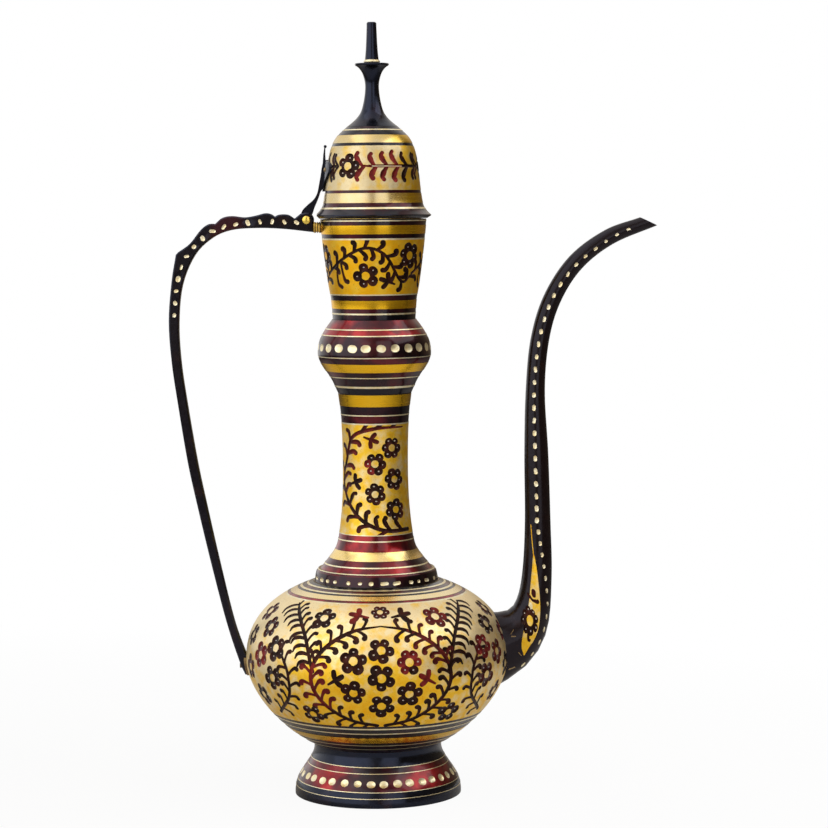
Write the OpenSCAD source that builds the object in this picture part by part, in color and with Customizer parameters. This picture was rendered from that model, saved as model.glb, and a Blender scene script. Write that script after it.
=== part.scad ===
// Surahi: a long-necked brass ewer with a hinged lid, a side handle and a curved spout.
// Millimetres. The origin is the centre of the foot's underside, +Z is up and +X is
// towards the spout. The handle, the hinge and the spout all lie in the XZ plane.

/* [Walls and clearances] */
// Thickness of the raised and spun shells
wall = 1.6; // [1.4:0.1:1.8]
// Solder gap between fixed pieces
solder = 0.05; // [0.03:0.01:0.1]
// Radial clearance of the hinge knuckle on its pin
pin_gap = 0.05; // [0.02:0.01:0.09]
// Gap between the closed lid's rim and the mouth
lid_gap = 0.3; // [0.3:0.1:0.6]

/* [Foot and body] */
// Radius of the foot at the table
foot_r = 43; // [41:0.5:45]
// Radius of the waist between foot and body
waist_r = 33; // [32:0.5:34]
// Greatest radius of the body
body_r = 67.5; // [66:0.5:69]
// Height of the body's widest circle and seam
equator_z = 69; // [68:0.5:70]
// Radius where the shoulder reaches the collar
shoulder_r = 32.5; // [32:0.5:33]
// Radius of the body's mouth lip
lip_r = 25; // [24.5:0.1:25.5]

/* [Neck] */
// Height of the shoulder collar
collar_h = 6.5; // [6:0.5:7]
// Height of the joint between column and knop
column_top = 207; // [206:0.5:208]
// Height of the joint between knop and cup
knop_top = 244.5; // [244:0.5:245]
// Greatest radius of the knop
knop_r = 29; // [28.5:0.1:29.5]
// Height of the mouth
mouth_z = 295.5; // [295:0.1:296]
// Outer radius of the mouth
mouth_r = 27.2; // [27:0.1:27.5]

/* [Lid and finial] */
// Greatest radius of the lid's flared rim
rim_r = 29.6; // [29.2:0.1:29.8]
// Distance from the axis of the flat filed on the rim beside the hinge
rim_flat = 28.6; // [28.4:0.1:28.8]
// Outer radius of the bezel inside the lid
bezel_r = 24.4; // [24:0.1:24.5]
// Depth of the bezel below the mouth
bezel_drop = 4; // [3:0.5:5]
// Height of the lid's flat crown, where the stem sits
crown_z = 342.2; // [342:0.1:342.5]
// Radius of the stem's stud through the crown
stud_r = 3; // [2.5:0.5:3]
// Height of the disc's flat top
disc_z = 374.2; // [374:0.1:375]
// Total height, to the tip of the spike
total_h = 395; // [392:1:398]

/* [Hinge] */
// Hinge pin's distance behind the axis
pin_x = 34; // [33.9:0.1:34.1]
// Height of the hinge pin
pin_z = 295.2; // [295.1:0.1:295.3]
// Radius of the hinge pin
pin_r = 1.25; // [1.2:0.05:1.3]
// Radius of the pin's peened heads
pin_head_r = 2.1; // [2:0.1:2.3]
// Outer radius of the strap's knuckle
knuckle_r = 3.2; // [3:0.1:3.3]
// Width of the strap's knuckle and arm
knuckle_w = 2.8; // [2.6:0.1:2.8]
// Width of the fork's slot
fork_slot = 3.2; // [3.2:0.1:3.4]

/* [Handle] */
// Thickness of the handle along its top
handle_t = 7.2; // [7:0.1:8]
// Thickness of the handle at its lower end
handle_tip_t = 5; // [4.5:0.1:5.5]
// Radius of the ferrule between handle and neck
ferrule_r = 2.8; // [2.6:0.1:2.8]

/* [Spout] */
// Wall thickness of the cast spout
spout_wall = 1.3; // [1.2:0.1:1.5]
// Radius of the hole from the body into the spout
spout_hole_r = 9; // [8:0.5:9]

/* [Hidden] */

enamel = [0.1, 0.05, 0.08];
brass = [0.8, 0.62, 0.2];
old_brass = [0.42, 0.33, 0.2];

$fn = 96;
spans = 4;
far = 500;

// Curve through stations, with straight-through ends
function at(p, i) = i < 0 ? 2 * p[0] - p[1] : i >= len(p) ? 2 * p[len(p) - 1] - p[len(p) - 2] : p[i];
function blend(a, b, c, d, t) = 0.5 * (2 * b + (c - a) * t + (2 * a - 5 * b + 4 * c - d) * t * t
    + (3 * b - a - 3 * c + d) * t * t * t);
function curve(p, n = spans) = concat(
    [for (i = [0 : len(p) - 2]) for (k = [0 : n - 1])
        blend(at(p, i - 1), p[i], p[i + 1], at(p, i + 2), k / n)],
    [p[len(p) - 1]]);
function backwards(p) = [for (i = [len(p) - 1 : -1 : 0]) p[i]];
// Copy of an upward curve moved d to its left, which is towards the axis
function inset(p, d) = [for (i = [0 : len(p) - 1])
    let (t = p[min(i + 1, len(p) - 1)] - p[max(i - 1, 0)]) p[i] + d * [-t.y, t.x] / norm(t)];
// Radius of a profile at height z
function radius_at(p, z) = let (k = [for (i = [0 : len(p) - 2]) if (p[i].y <= z && z <= p[i + 1].y) i][0])
    p[k].x + (p[k + 1].x - p[k].x) * (z - p[k].y) / (p[k + 1].y - p[k].y);
function above(p, z) = [for (q = p) if (q.y > z) q];
function below(p, z) = [for (q = p) if (q.y < z) q];

// Body: two swelling curves that meet upright at the equator
upper_h = 46.4;
upper_round = [1.9, 2.44];
lower_h = 51.4;
lower_round = [1.87, 1.63];
function swell(h, e, r) = h * pow(1 - pow(r / body_r, e.x), 1 / e.y);
function swell_curve(h, e, r_end, n) = let (last = acos(pow(r_end / body_r, e.x / 2)))
    [for (i = [0 : n]) let (a = last * i / n)
        [body_r * pow(cos(a), 2 / e.x), equator_z + h * pow(sin(a), 2 / e.y)]];
waist_z = equator_z - swell(lower_h, lower_round, waist_r);
shoulder_z = equator_z + swell(upper_h, upper_round, shoulder_r);
body_steps = 16;
upper_out = swell_curve(upper_h, upper_round, shoulder_r, body_steps);
lower_out = backwards(swell_curve(-lower_h, lower_round, waist_r, body_steps));
body_out = concat(lower_out, [for (i = [1 : body_steps]) upper_out[i]]);

// Foot: share of the spread from waist to rim, against share of the height
foot_shape = [[1, 0], [0.99, 0.1], [0.9, 0.26], [0.66, 0.43], [0.36, 0.6], [0.1, 0.77], [0, 0.89], [0, 1]];
foot_out = curve([for (s = foot_shape) [waist_r + s.x * (foot_r - waist_r), s.y * waist_z]]);
flange_hole_r = 14;

// Neck profiles, from the collar to the mouth
collar_z = shoulder_z + collar_h;
lip_h = 3.4;
column_out = curve([[28.8, collar_z], [25.2, 121.2], [21.6, 126], [19.6, 131.5], [18, 142], [17, 155],
    [16.7, 170], [17, 186], [17.8, 198], [18.9, column_top]]);
spigot_h = 4;
column_spigot_r = 17;
knop_out = curve([[19, column_top], [22.3, 214], [26.4, 220.2], [28.6, 224.4], [knop_r, 228.4],
    [28.4, 232.6], [26.9, 236.6], [24.4, 240.7], [21.6, knop_top]]);
cup_spigot_r = 19;
cup_out = curve([[21.3, knop_top], [21.9, 254], [23.6, 264.5], [25.4, 278], [26.7, 289.5],
    [mouth_r, mouth_z]]);

// Lid profile, from the rim to the crown
rim_z = mouth_z + lid_gap;
crown_seat_r = 13.2;
lid_out = curve([[rim_r, rim_z + 1.8], [27.4, 299.9], [25.8, 302.6], [24.8, 307.5], [23.9, 315], [23, 324],
    [21, 332.2], [18, 337.6], [crown_seat_r, crown_z]]);
lid_wall = 1.5;
bezel_top = rim_z + 7;
nut_r = 6;
nut_h = 3;
tang_r = 1.5;
tang_depth = 7;
ring_h = 1.8;

// Lower fixing of the handle on the body
saddle_t = 1.2;
saddle_z = 66;
saddle_size = [8, 9];
rivet_r = 1.2;

// Handle outline, running from the fork over the lobed top to the lower end and back inside
stud_face_x = -30.4;
ferrule_z = 291.4;
slot_floor = 291.7;
slot_end = -44;
cheek_r = 3.8;
handle_top = concat(
    [[-31, 297.2], [-37, 298.4]],
    curve([[-40.1, 295.9], [-43, 297.8], [-45.8, 298.2], [-48.4, 297.9], [-50.1, 297]]),
    curve([[-50.1, 297], [-52, 298.3], [-55, 298.8], [-60, 297.6], [-65.5, 296.8], [-72, 297.5],
        [-76.8, 296.6], [-80.4, 293.6]]),
    curve([[-80.4, 293.6], [-84, 293.4], [-88, 290.4], [-93.5, 283.6], [-99.4, 279.4]]));
handle_back = curve([[-100.7, 278], [-103.1, 264], [-104.8, 244], [-103.6, 223], [-100.8, 202], [-96.2, 172],
    [-91.7, 150], [-85, 120], [-77.4, 89], [-71, 68.5], [-68, 61.5]]);
handle_inside = curve([[-62, 62], [-66.3, 70], [-73, 88.5], [-80.4, 120], [-86.8, 150], [-91.2, 172],
    [-96, 202], [-98.8, 223], [-99.7, 243], [-97.6, 262.5], [-91, 277.8], [-82, 286.4], [-72.5, 290.3],
    [-60, 291.3], [-46, 290.8], [stud_face_x, 289]]);

// Strap: arm outline beside the rim, prong outline and half of the leaf's outline
arm_outside = curve([[-37.1, 296], [-36.2, 299.8], [-33.5, 302.7], [-30.3, 305.5], [-28.4, 308.7],
    [-27.4, 313.3], [-26.5, 318], [-25.9, 322], [-24.9, 325.6]]);
arm_inside = curve([[-22, 325.6], [-23, 318], [-24.2, 312.6], [-26.5, 309.8], [-27.6, 306.8], [-28.5, 304.6],
    [-29.9, 301.4], [-30.8, 298.6], [-31.6, 297]]);
prong = [[-23.8, 322], [-25.6, 322], [-25.1, 328.4], [-24.5, 332.2], [-24, 332.2], [-24.1, 328.4]];
prong_t = 1.6;
bead = [-24.1, 332.4];
bead_r = 0.8;
leaf_t = 1.3;
leaf_side = curve([[1.4, 309.6], [3.4, 312.4], [8.6, 317], [11.4, 321], [8.6, 324.2], [0, 325.6]]);
// Rivets of the leaf, one on each side of the arm
leaf_rivet_z = 320.5;
leaf_rivet_turns = [-13, 13];

// Spout stations: inner edge and outer edge in the XZ plane, then half of the width across
spout_stations = [
    [[56, 92.6], [56, 51], 12.5],
    [[67.4, 93.6], [76.5, 64.4], 10.6],
    [[72.5, 100.4], [87.6, 82.6], 8.6],
    [[75.3, 115], [90.3, 110.5], 7.2],
    [[76.6, 140], [89.8, 140.5], 6.2],
    [[76.5, 175], [88.8, 175], 5.6],
    [[77.3, 207], [87.2, 207], 5],
    [[80, 234], [89.4, 232.5], 4.6],
    [[87, 256.3], [95.2, 252], 4.3],
    [[100, 275.7], [106, 269], 4],
    [[118, 288.9], [122.3, 281.8], 3.6],
    [[136, 295.3], [144.8, 291.1], 3.2]];
spout_hole_z = 74;
spout_sides = 16;
spout_rings = 4;

// Interpolates one column of the stations and returns the rings of a tube inside them
function column(s, k) = curve([for (q = s) q[k]], spout_rings);
function tube_rings(s, skin) = let (a = column(s, 0), b = column(s, 1), w = column(s, 2))
    [for (i = [0 : len(a) - 1])
        let (mid = (a[i] + b[i]) / 2, arm = b[i] - a[i], long = norm(arm) / 2 - skin, dir = arm / norm(arm))
        [for (k = [0 : spout_sides - 1]) let (t = 360 * k / spout_sides, p = mid + dir * long * cos(t))
            [p.x, (w[i] - skin) * sin(t), p.y]]];
// The bore runs past the tip, so that it opens there
function past_tip(s, d) = let (e = s[len(s) - 1], f = s[len(s) - 2],
    way = ((e[0] + e[1]) - (f[0] + f[1])) / norm((e[0] + e[1]) - (f[0] + f[1])))
    concat(s, [[e[0] + d * way, e[1] + d * way, e[2]]]);

// Shared shapes
module turned(outline) {
    rotate_extrude() polygon(outline);
}

// Solid of revolution under a profile, down to the axis, grown by d
module under(profile, d) {
    turned(concat([[0, profile[0].y]], inset(profile, -d), [[0, profile[len(profile) - 1].y]]));
}

module side_plate(outline, t) {
    rotate([90, 0, 0]) linear_extrude(t, center = true) polygon(outline);
}

// Cylinder along Y through the hinge
module hinge_cylinder(r, w) {
    translate([-pin_x, 0, pin_z]) rotate([90, 0, 0]) cylinder(r = r, h = w, center = true);
}

// Cylinder along X, from x0 to x1
module cross_cylinder(r, x0, x1, z) {
    translate([x0, 0, z]) rotate([0, 90, 0]) cylinder(r = r, h = x1 - x0);
}

module tube(rings) {
    n = spout_sides;
    last = len(rings) - 1;
    polyhedron(
        points = [for (g = rings) for (p = g) p],
        faces = concat(
            [[for (k = [0 : n - 1]) k], [for (k = [n - 1 : -1 : 0]) last * n + k]],
            [for (i = [0 : last - 1]) for (k = [0 : n - 1])
                [i * n + k, (i + 1) * n + k, (i + 1) * n + (k + 1) % n]],
            [for (i = [0 : last - 1]) for (k = [0 : n - 1])
                [i * n + k, (i + 1) * n + (k + 1) % n, i * n + (k + 1) % n]]));
}

module rivet_holes(r) {
    for (turn = leaf_rivet_turns) rotate(turn) cross_cylinder(r, -2 * rim_r, -rim_r / 2, leaf_rivet_z);
}

// Vessel
module foot() {
    inner = below(inset(foot_out, wall), waist_z - wall);
    color(enamel) turned(concat(foot_out, [[flange_hole_r, waist_z], [flange_hole_r, waist_z - wall],
        [inner[len(inner) - 1].x, waist_z - wall]], backwards(above(inner, 0)), [[foot_r - wall, 0]]));
}

module body_lower() {
    lap = 1;
    half = wall / 2;
    inner = above(inset(lower_out, wall), waist_z + wall);
    color(brass) difference() {
        turned(concat(
            [[0, waist_z - wall], [flange_hole_r - solder, waist_z - wall],
                [flange_hole_r - solder, waist_z]],
            lower_out,
            [[body_r, equator_z + lap], [body_r - half, equator_z + lap], [body_r - half, equator_z - lap]],
            backwards(below(inner, equator_z - lap)),
            [[0, waist_z + wall]]));
        cross_cylinder(spout_hole_r, 0, far, spout_hole_z);
        cross_cylinder(rivet_r + solder, -far, 0, saddle_z);
    }
}

module body_upper() {
    lap = 1;
    half = wall / 2 + solder;
    inner = below(inset(upper_out, wall), shoulder_z - wall);
    color(brass) difference() {
        turned(concat(
            [[body_r - wall, equator_z - lap + solder], [body_r - half, equator_z - lap + solder],
                [body_r - half, equator_z + lap + solder], [body_r, equator_z + lap + solder]],
            above(upper_out, equator_z + lap + solder),
            [[lip_r, shoulder_z], [lip_r, shoulder_z + lip_h], [lip_r - wall, shoulder_z + lip_h],
                [lip_r - wall, shoulder_z - wall]],
            backwards(above(inner, equator_z))));
        cross_cylinder(spout_hole_r, 0, far, spout_hole_z);
    }
}

module collar() {
    outside = curve([[31.9, shoulder_z], [31.4, shoulder_z + 0.4 * collar_h],
        [30.8, shoulder_z + 0.8 * collar_h], [29.8, collar_z]]);
    color(enamel) turned(concat(outside, [[lip_r + solder, collar_z], [lip_r + solder, shoulder_z]]));
}

module neck_column() {
    inner = inset(column_out, wall);
    base_in = lip_r - wall;
    floor_z = collar_z + wall;
    color(brass) turned(concat(
        [[base_in, collar_z - spigot_h / 2], [lip_r, collar_z - spigot_h / 2], [lip_r, collar_z]],
        column_out,
        [[column_spigot_r, column_top], [column_spigot_r, column_top + spigot_h],
            [column_spigot_r - wall, column_top + spigot_h]],
        backwards(above(below(inner, column_top), floor_z)),
        [[base_in, floor_z]]));
}

module neck_knop() {
    inner = inset(knop_out, wall);
    color(enamel) turned(concat(
        knop_out,
        [[cup_spigot_r + solder, knop_top], [cup_spigot_r + solder, knop_top - wall]],
        backwards(above(below(inner, knop_top - wall), column_top + wall)),
        [[column_spigot_r + solder, column_top + wall], [column_spigot_r + solder, column_top]]));
}

module neck_cup() {
    inner = inset(cup_out, wall);
    bore = cup_spigot_r - wall;
    color(brass) difference() {
        turned(concat(
            [[bore, knop_top - spigot_h], [cup_spigot_r, knop_top - spigot_h], [cup_spigot_r, knop_top]],
            cup_out,
            [[mouth_r - wall, mouth_z]],
            backwards(above(below(inner, mouth_z), knop_top + wall)),
            [[bore, knop_top + wall]]));
        cross_cylinder(rivet_r + solder, -far, 0, ferrule_z);
    }
}

module spout() {
    color(enamel) difference() {
        tube(tube_rings(spout_stations, 0));
        tube(tube_rings(past_tip(spout_stations, 8), spout_wall));
        under(body_out, solder);
    }
}

module handle() {
    wedge_low = [handle_tip_t / 2, 60];
    wedge_high = [handle_t / 2, 285];
    color(enamel) difference() {
        intersection() {
            union() {
                side_plate(concat(handle_top, handle_back, handle_inside, [[stud_face_x, 295]]), handle_t);
                hinge_cylinder(cheek_r, handle_t);
            }
            rotate([90, 0, 90]) linear_extrude(far, center = true)
                polygon([wedge_high, [wedge_high.x, far], [-wedge_high.x, far], [-wedge_high.x, wedge_high.y],
                    [-wedge_low.x, wedge_low.y], [-wedge_low.x, 0], [wedge_low.x, 0], wedge_low]);
        }
        translate([slot_end, -fork_slot / 2, slot_floor]) cube([-slot_end, fork_slot, far]);
        hinge_cylinder(pin_r + solder / 2, far);
        under(body_out, saddle_t + 2 * solder);
        cross_cylinder(rivet_r + solder, -far, 0, saddle_z);
    }
}

// Ferrule with two grooves, coped to the cup, and a tenon through the cup's wall
module handle_stud() {
    cup_r = radius_at(cup_out, ferrule_z);
    length = -cup_r - stud_face_x;
    groove = 0.4;
    grooves = [0.3, 0.6];
    groove_w = 0.5;
    color(old_brass) {
        difference() {
            cross_cylinder(ferrule_r, stud_face_x + solder, -cup_r + wall, ferrule_z);
            under(cup_out, solder);
            for (g = grooves) translate([stud_face_x + g * length, 0, ferrule_z]) rotate([0, 90, 0])
                difference() {
                    cylinder(r = 2 * ferrule_r, h = groove_w);
                    cylinder(r = ferrule_r - groove, h = groove_w);
                }
        }
        cross_cylinder(rivet_r, -cup_r - length / 2, -cup_r + wall, ferrule_z);
    }
}

module handle_saddle() {
    color(old_brass) difference() {
        intersection() {
            under(body_out, saddle_t);
            translate([-body_r, 0, saddle_z]) rotate([0, 90, 0]) linear_extrude(body_r / 2, center = true)
                square([saddle_size.y, saddle_size.x], center = true);
        }
        under(body_out, solder);
        cross_cylinder(rivet_r + solder, -far, 0, saddle_z);
    }
}

module handle_rivet() {
    outer_end = -70.9;
    inner_end = wall + 0.6 - radius_at(body_out, saddle_z);
    color(old_brass) cross_cylinder(rivet_r, outer_end, inner_end, saddle_z);
}

module hinge_pin() {
    head_h = 0.7;
    color(brass) {
        hinge_cylinder(pin_r, handle_t + 2 * solder);
        for (side = [-1, 1])
            translate([-pin_x, side * (handle_t / 2 + solder), pin_z]) rotate([-90 * side, 0, 0]) turned(
                [[0, 0], [pin_head_r, 0], [pin_head_r, 0.4 * head_h], [0.75 * pin_head_r, head_h],
                    [0, head_h]]);
    }
}

// Lid
module lid_dome() {
    inner = inset(lid_out, lid_wall);
    bore = bezel_r + solder;
    land = 0.4;
    bevel = 1.3;
    flat_h = 5;
    color(brass) difference() {
        turned(concat(
            [[bore, rim_z], [mouth_r + land, rim_z], [rim_r, rim_z + bevel]],
            lid_out,
            [[stud_r + solder, crown_z], [stud_r + solder, crown_z - lid_wall],
                [nut_r + 1, crown_z - lid_wall]],
            backwards([for (q = inner) if (q.x < bore && q.y > bezel_top && q.y < crown_z - lid_wall) q]),
            [[bore, bezel_top]]));
        rivet_holes(rivet_r + solder);
        translate([-far - rim_flat, -far / 2, rim_z - 1]) cube([far, far, flat_h]);
    }
}

module lid_bezel() {
    inner_r = bezel_r - 1.2;
    low = mouth_z - bezel_drop;
    color(brass) turned([[inner_r, low], [bezel_r - 0.5, low], [bezel_r, low + 1], [bezel_r, bezel_top - 0.5],
        [inner_r, bezel_top - 0.5]]);
}

module lid_strap() {
    color(enamel) difference() {
        union() {
            hinge_cylinder(knuckle_r, knuckle_w);
            side_plate(concat(arm_outside, arm_inside, [[-pin_x, pin_z]]), knuckle_w);
            side_plate(prong, prong_t);
            translate([bead.x, 0, bead.y]) sphere(bead_r);
            intersection() {
                under(lid_out, leaf_t);
                translate([-rim_r, 0, 0]) rotate([90, 0, 90]) linear_extrude(rim_r)
                    polygon(concat(leaf_side, backwards([for (q = leaf_side) [-q.x, q.y]])));
            }
        }
        under(lid_out, solder);
        hinge_cylinder(pin_r + pin_gap, far);
        rivet_holes(rivet_r + solder);
    }
}

module strap_rivets() {
    dome = 0.6;
    lid_r = radius_at(lid_out, leaf_rivet_z);
    length = leaf_t + lid_wall + 0.5;
    color(old_brass) for (turn = leaf_rivet_turns)
        rotate(turn) translate([-lid_r - leaf_t - 0.1, 0, leaf_rivet_z]) rotate([0, 90, 0])
            turned([[0, -dome], [0.6 * rivet_r, -0.8 * dome], [rivet_r, 0], [rivet_r, length], [0, length]]);
}

module finial_stem() {
    trumpet = curve([[13, crown_z], [10, 344.6], [7.6, 347], [5.7, 350], [4.4, 354.6], [3.6, 360],
        [3.6, 364.5], [4.8, 369], [6.6, 371.8], [8.5, 373.2]]);
    color(enamel) turned(concat(
        [[0, crown_z - lid_wall - nut_h - 1], [stud_r, crown_z - lid_wall - nut_h - 1], [stud_r, crown_z]],
        trumpet,
        [[8.7, disc_z - 0.4], [8.4, disc_z], [tang_r + solder, disc_z],
            [tang_r + solder, disc_z - tang_depth - 1], [0, disc_z - tang_depth - 1]]));
}

module finial_ring() {
    crown = curve([[3.6, disc_z], [4.2, disc_z + 0.5 * ring_h], [3.6, disc_z + ring_h]]);
    color(brass) turned(concat(crown, [[tang_r + solder, disc_z + ring_h], [tang_r + solder, disc_z]]));
}

module finial_spike() {
    base = disc_z + ring_h;
    side = curve([[3.5, base], [3.1, base + 4], [2.8, base + 9], [2.5, total_h - 2.5], [2.5, total_h - 0.6]]);
    color(enamel) turned(concat([[0, disc_z - tang_depth], [tang_r, disc_z - tang_depth], [tang_r, base]],
        side, [[2, total_h], [0, total_h]]));
}

module finial_nut() {
    color(old_brass) translate([0, 0, crown_z - lid_wall - nut_h]) difference() {
        cylinder(r = nut_r, h = nut_h - solder, $fn = 6);
        translate([0, 0, -1]) cylinder(r = stud_r + solder, h = nut_h + 2);
    }
}

foot();
body_lower();
body_upper();
collar();
neck_column();
neck_knop();
neck_cup();
spout();
handle();
handle_stud();
handle_saddle();
handle_rivet();
hinge_pin();
lid_dome();
lid_bezel();
lid_strap();
strap_rivets();
finial_stem();
finial_ring();
finial_spike();
finial_nut();
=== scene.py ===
"""Looks of the surahi: its enamelled and engraved skins, with lights and a camera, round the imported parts."""
import math
import random
from functools import partial

import bpy
import numpy as np
from mathutils import Matrix, Vector
from mathutils.geometry import delaunay_2d_cdt


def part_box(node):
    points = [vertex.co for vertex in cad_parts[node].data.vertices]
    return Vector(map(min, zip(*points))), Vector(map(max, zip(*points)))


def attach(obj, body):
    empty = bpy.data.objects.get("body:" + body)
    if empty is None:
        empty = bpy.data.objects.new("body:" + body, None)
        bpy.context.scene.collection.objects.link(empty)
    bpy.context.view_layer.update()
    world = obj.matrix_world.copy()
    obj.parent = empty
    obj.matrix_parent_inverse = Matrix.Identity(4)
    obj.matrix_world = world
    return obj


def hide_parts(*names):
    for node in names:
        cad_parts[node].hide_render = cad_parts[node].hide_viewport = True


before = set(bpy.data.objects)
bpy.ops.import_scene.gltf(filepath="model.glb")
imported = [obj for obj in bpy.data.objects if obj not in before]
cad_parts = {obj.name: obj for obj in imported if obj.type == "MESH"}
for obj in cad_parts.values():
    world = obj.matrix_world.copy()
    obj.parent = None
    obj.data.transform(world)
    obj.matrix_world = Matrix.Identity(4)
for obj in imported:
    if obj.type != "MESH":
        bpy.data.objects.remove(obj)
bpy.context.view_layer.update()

# Shapes are written in millimetres. A turn is measured round the axis from the front, -Y, towards +X.
MM = 0.001
FULL = 2 * math.pi
# Way round on a surface
AHEAD = np.array([1.0, 0.0])
# Columns of faces on a turned skin
COLUMNS = 128
# Corners closer than this are one corner
GRAIN = 0.002

# Inks: which material a face takes
# The pale spots in the petals are painted highlights, with an ink of their own
ENAMEL, GROUND, BAND, CHIP, INSIDE, BLACK, CUT, PAINTED_HIGHLIGHT, POLISHED = range(9)
# How deep the enamel lies below the bare brass beside it
STEP = 0.12
WALL = 1.6
# Cuts are shaded as if they were this much deeper
RELIEF = 1.8


def low(node):
    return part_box(node)[0].z / MM


def high(node):
    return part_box(node)[1].z / MM


def show(name, data):
    """Puts a new object into the scene."""
    piece = bpy.data.objects.new(name, data)
    bpy.context.scene.collection.objects.link(piece)
    return piece


# Curves

def spline(stations, steps=12):
    """Smooth curve through the stations, straight through at both ends."""
    p = [np.array(s, float) for s in stations]
    p = [2 * p[0] - p[1]] + p + [2 * p[-1] - p[-2]]
    t = np.linspace(0, 1, steps, endpoint=False)[:, None]
    spans = []
    for a, b, c, d in zip(p, p[1:], p[2:], p[3:]):
        squared, cubed = 2 * a - 5 * b + 4 * c - d, 3 * b - a - 3 * c + d
        spans.append(0.5 * (2 * b + (c - a) * t + squared * t ** 2 + cubed * t ** 3))
    return np.concatenate(spans + [p[-2][None]])


def unit(v):
    return v / np.maximum(np.linalg.norm(v, axis=-1, keepdims=True), 1e-12)


def direction(line):
    return unit(np.gradient(line, axis=0))


def left_of(ways):
    return np.stack([-ways[:, 1], ways[:, 0]], 1)


def rotated(v, angle):
    c, s = math.cos(angle), math.sin(angle)
    return np.array([c * v[0] - s * v[1], s * v[0] + c * v[1]])


def inset(profile, d):
    """Copy of an upward profile moved d towards the axis."""
    return profile + d * left_of(direction(profile))


def step_lengths(line):
    return np.linalg.norm(np.diff(line, axis=0), axis=1)


def running(steps):
    """Length from the start, after each step."""
    return np.concatenate([[0], np.cumsum(steps)])


def part_way(line, run, reach):
    """Value on a line where its running length is reach."""
    return np.array([np.interp(reach, run, row) for row in line.T])


def turns_round(count):
    """Turns of the columns of a closed skin. Its seam is on the -X side."""
    return -math.pi / 2 + np.linspace(0, FULL, count + 1)


def around(r, u, z):
    """Points or normals at radius r and height z, turned u round the axis."""
    return np.stack([r * np.sin(u), -r * np.cos(u), z + 0 * u], -1)


# Surfaces that carry decoration

class Surface:
    """Places on it are (u, q) pairs: u turns round and q runs along, scaled so that a small shape keeps its
    angles. Its rows are along (height, or length from the root), q and r."""
    closed = True

    def at(self, turn, along):
        return np.array([math.radians(turn), np.interp(along, self.along, self.q)])

    def scale(self, place):
        return np.interp(place[1], self.q, self.r)

    def point(self, u, q, depth=0.0):
        return self.bare(u, q) - np.asarray(depth)[..., None] * self.normal(u, q)

    def measure(self, steps):
        """q, from the lengths of the steps along."""
        return running(2 * steps / (self.r[1:] + self.r[:-1]))


class Turned(Surface):
    """Outside of a turned piece."""

    def __init__(self, profile):
        self.r, self.along = profile.T
        self.q = self.measure(np.hypot(np.diff(self.r), np.diff(self.along)))
        ways = direction(profile)
        self.normal_r, self.normal_z = ways[:, 1], -ways[:, 0]

    def radius(self, z):
        return np.interp(z, self.along, self.r)

    def bare(self, u, q):
        return around(np.interp(q, self.q, self.r), u, np.interp(q, self.q, self.along))

    def normal(self, u, q):
        return unit(around(np.interp(q, self.q, self.normal_r), u, np.interp(q, self.q, self.normal_z)))

    def part(self, z0, z1, depth=0.0):
        """Profile from z0 up to z1, moved depth inwards."""
        clear = 0.1
        between = self.along[(self.along > z0 + clear) & (self.along < z1 - clear)]
        heights = np.concatenate([[z0], between, [z1]])
        q = np.interp(heights, self.along, self.q)
        r = self.radius(heights) - depth * np.interp(q, self.q, self.normal_r)
        return np.stack([r, heights - depth * np.interp(q, self.q, self.normal_z)], 1)


class Swept(Surface):
    """Outside of a tube given by stations: inner edge, outer edge and half of the width across."""

    def __init__(self, stations, skin=0.0):
        rows = spline([[*a, *b, w] for a, b, w in stations])
        arm = rows[:, 2:4] - rows[:, :2]
        self.mid = (rows[:, :2] + rows[:, 2:4]) / 2
        self.way = unit(arm)
        self.r = np.linalg.norm(arm, axis=1) / 2 - skin
        self.wide = rows[:, 4] - skin
        steps = step_lengths(self.mid)
        self.along, self.q = running(steps), self.measure(steps)

    def bare(self, u, q):
        def pick(row):
            return np.interp(q, self.q, row)
        side = np.sin(u) * pick(self.r)
        return np.stack([pick(self.mid[:, 0]) + pick(self.way[:, 0]) * side, -pick(self.wide) * np.cos(u),
                         pick(self.mid[:, 1]) + pick(self.way[:, 1]) * side], -1)

    def normal(self, u, q):
        nudge = 1e-3
        q = np.clip(q, nudge, self.q[-1] - nudge)
        return unit(np.cross(self.bare(u + nudge, q) - self.bare(u - nudge, q),
                             self.bare(u, q + nudge) - self.bare(u, q - nudge)))


# Meshes

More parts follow.
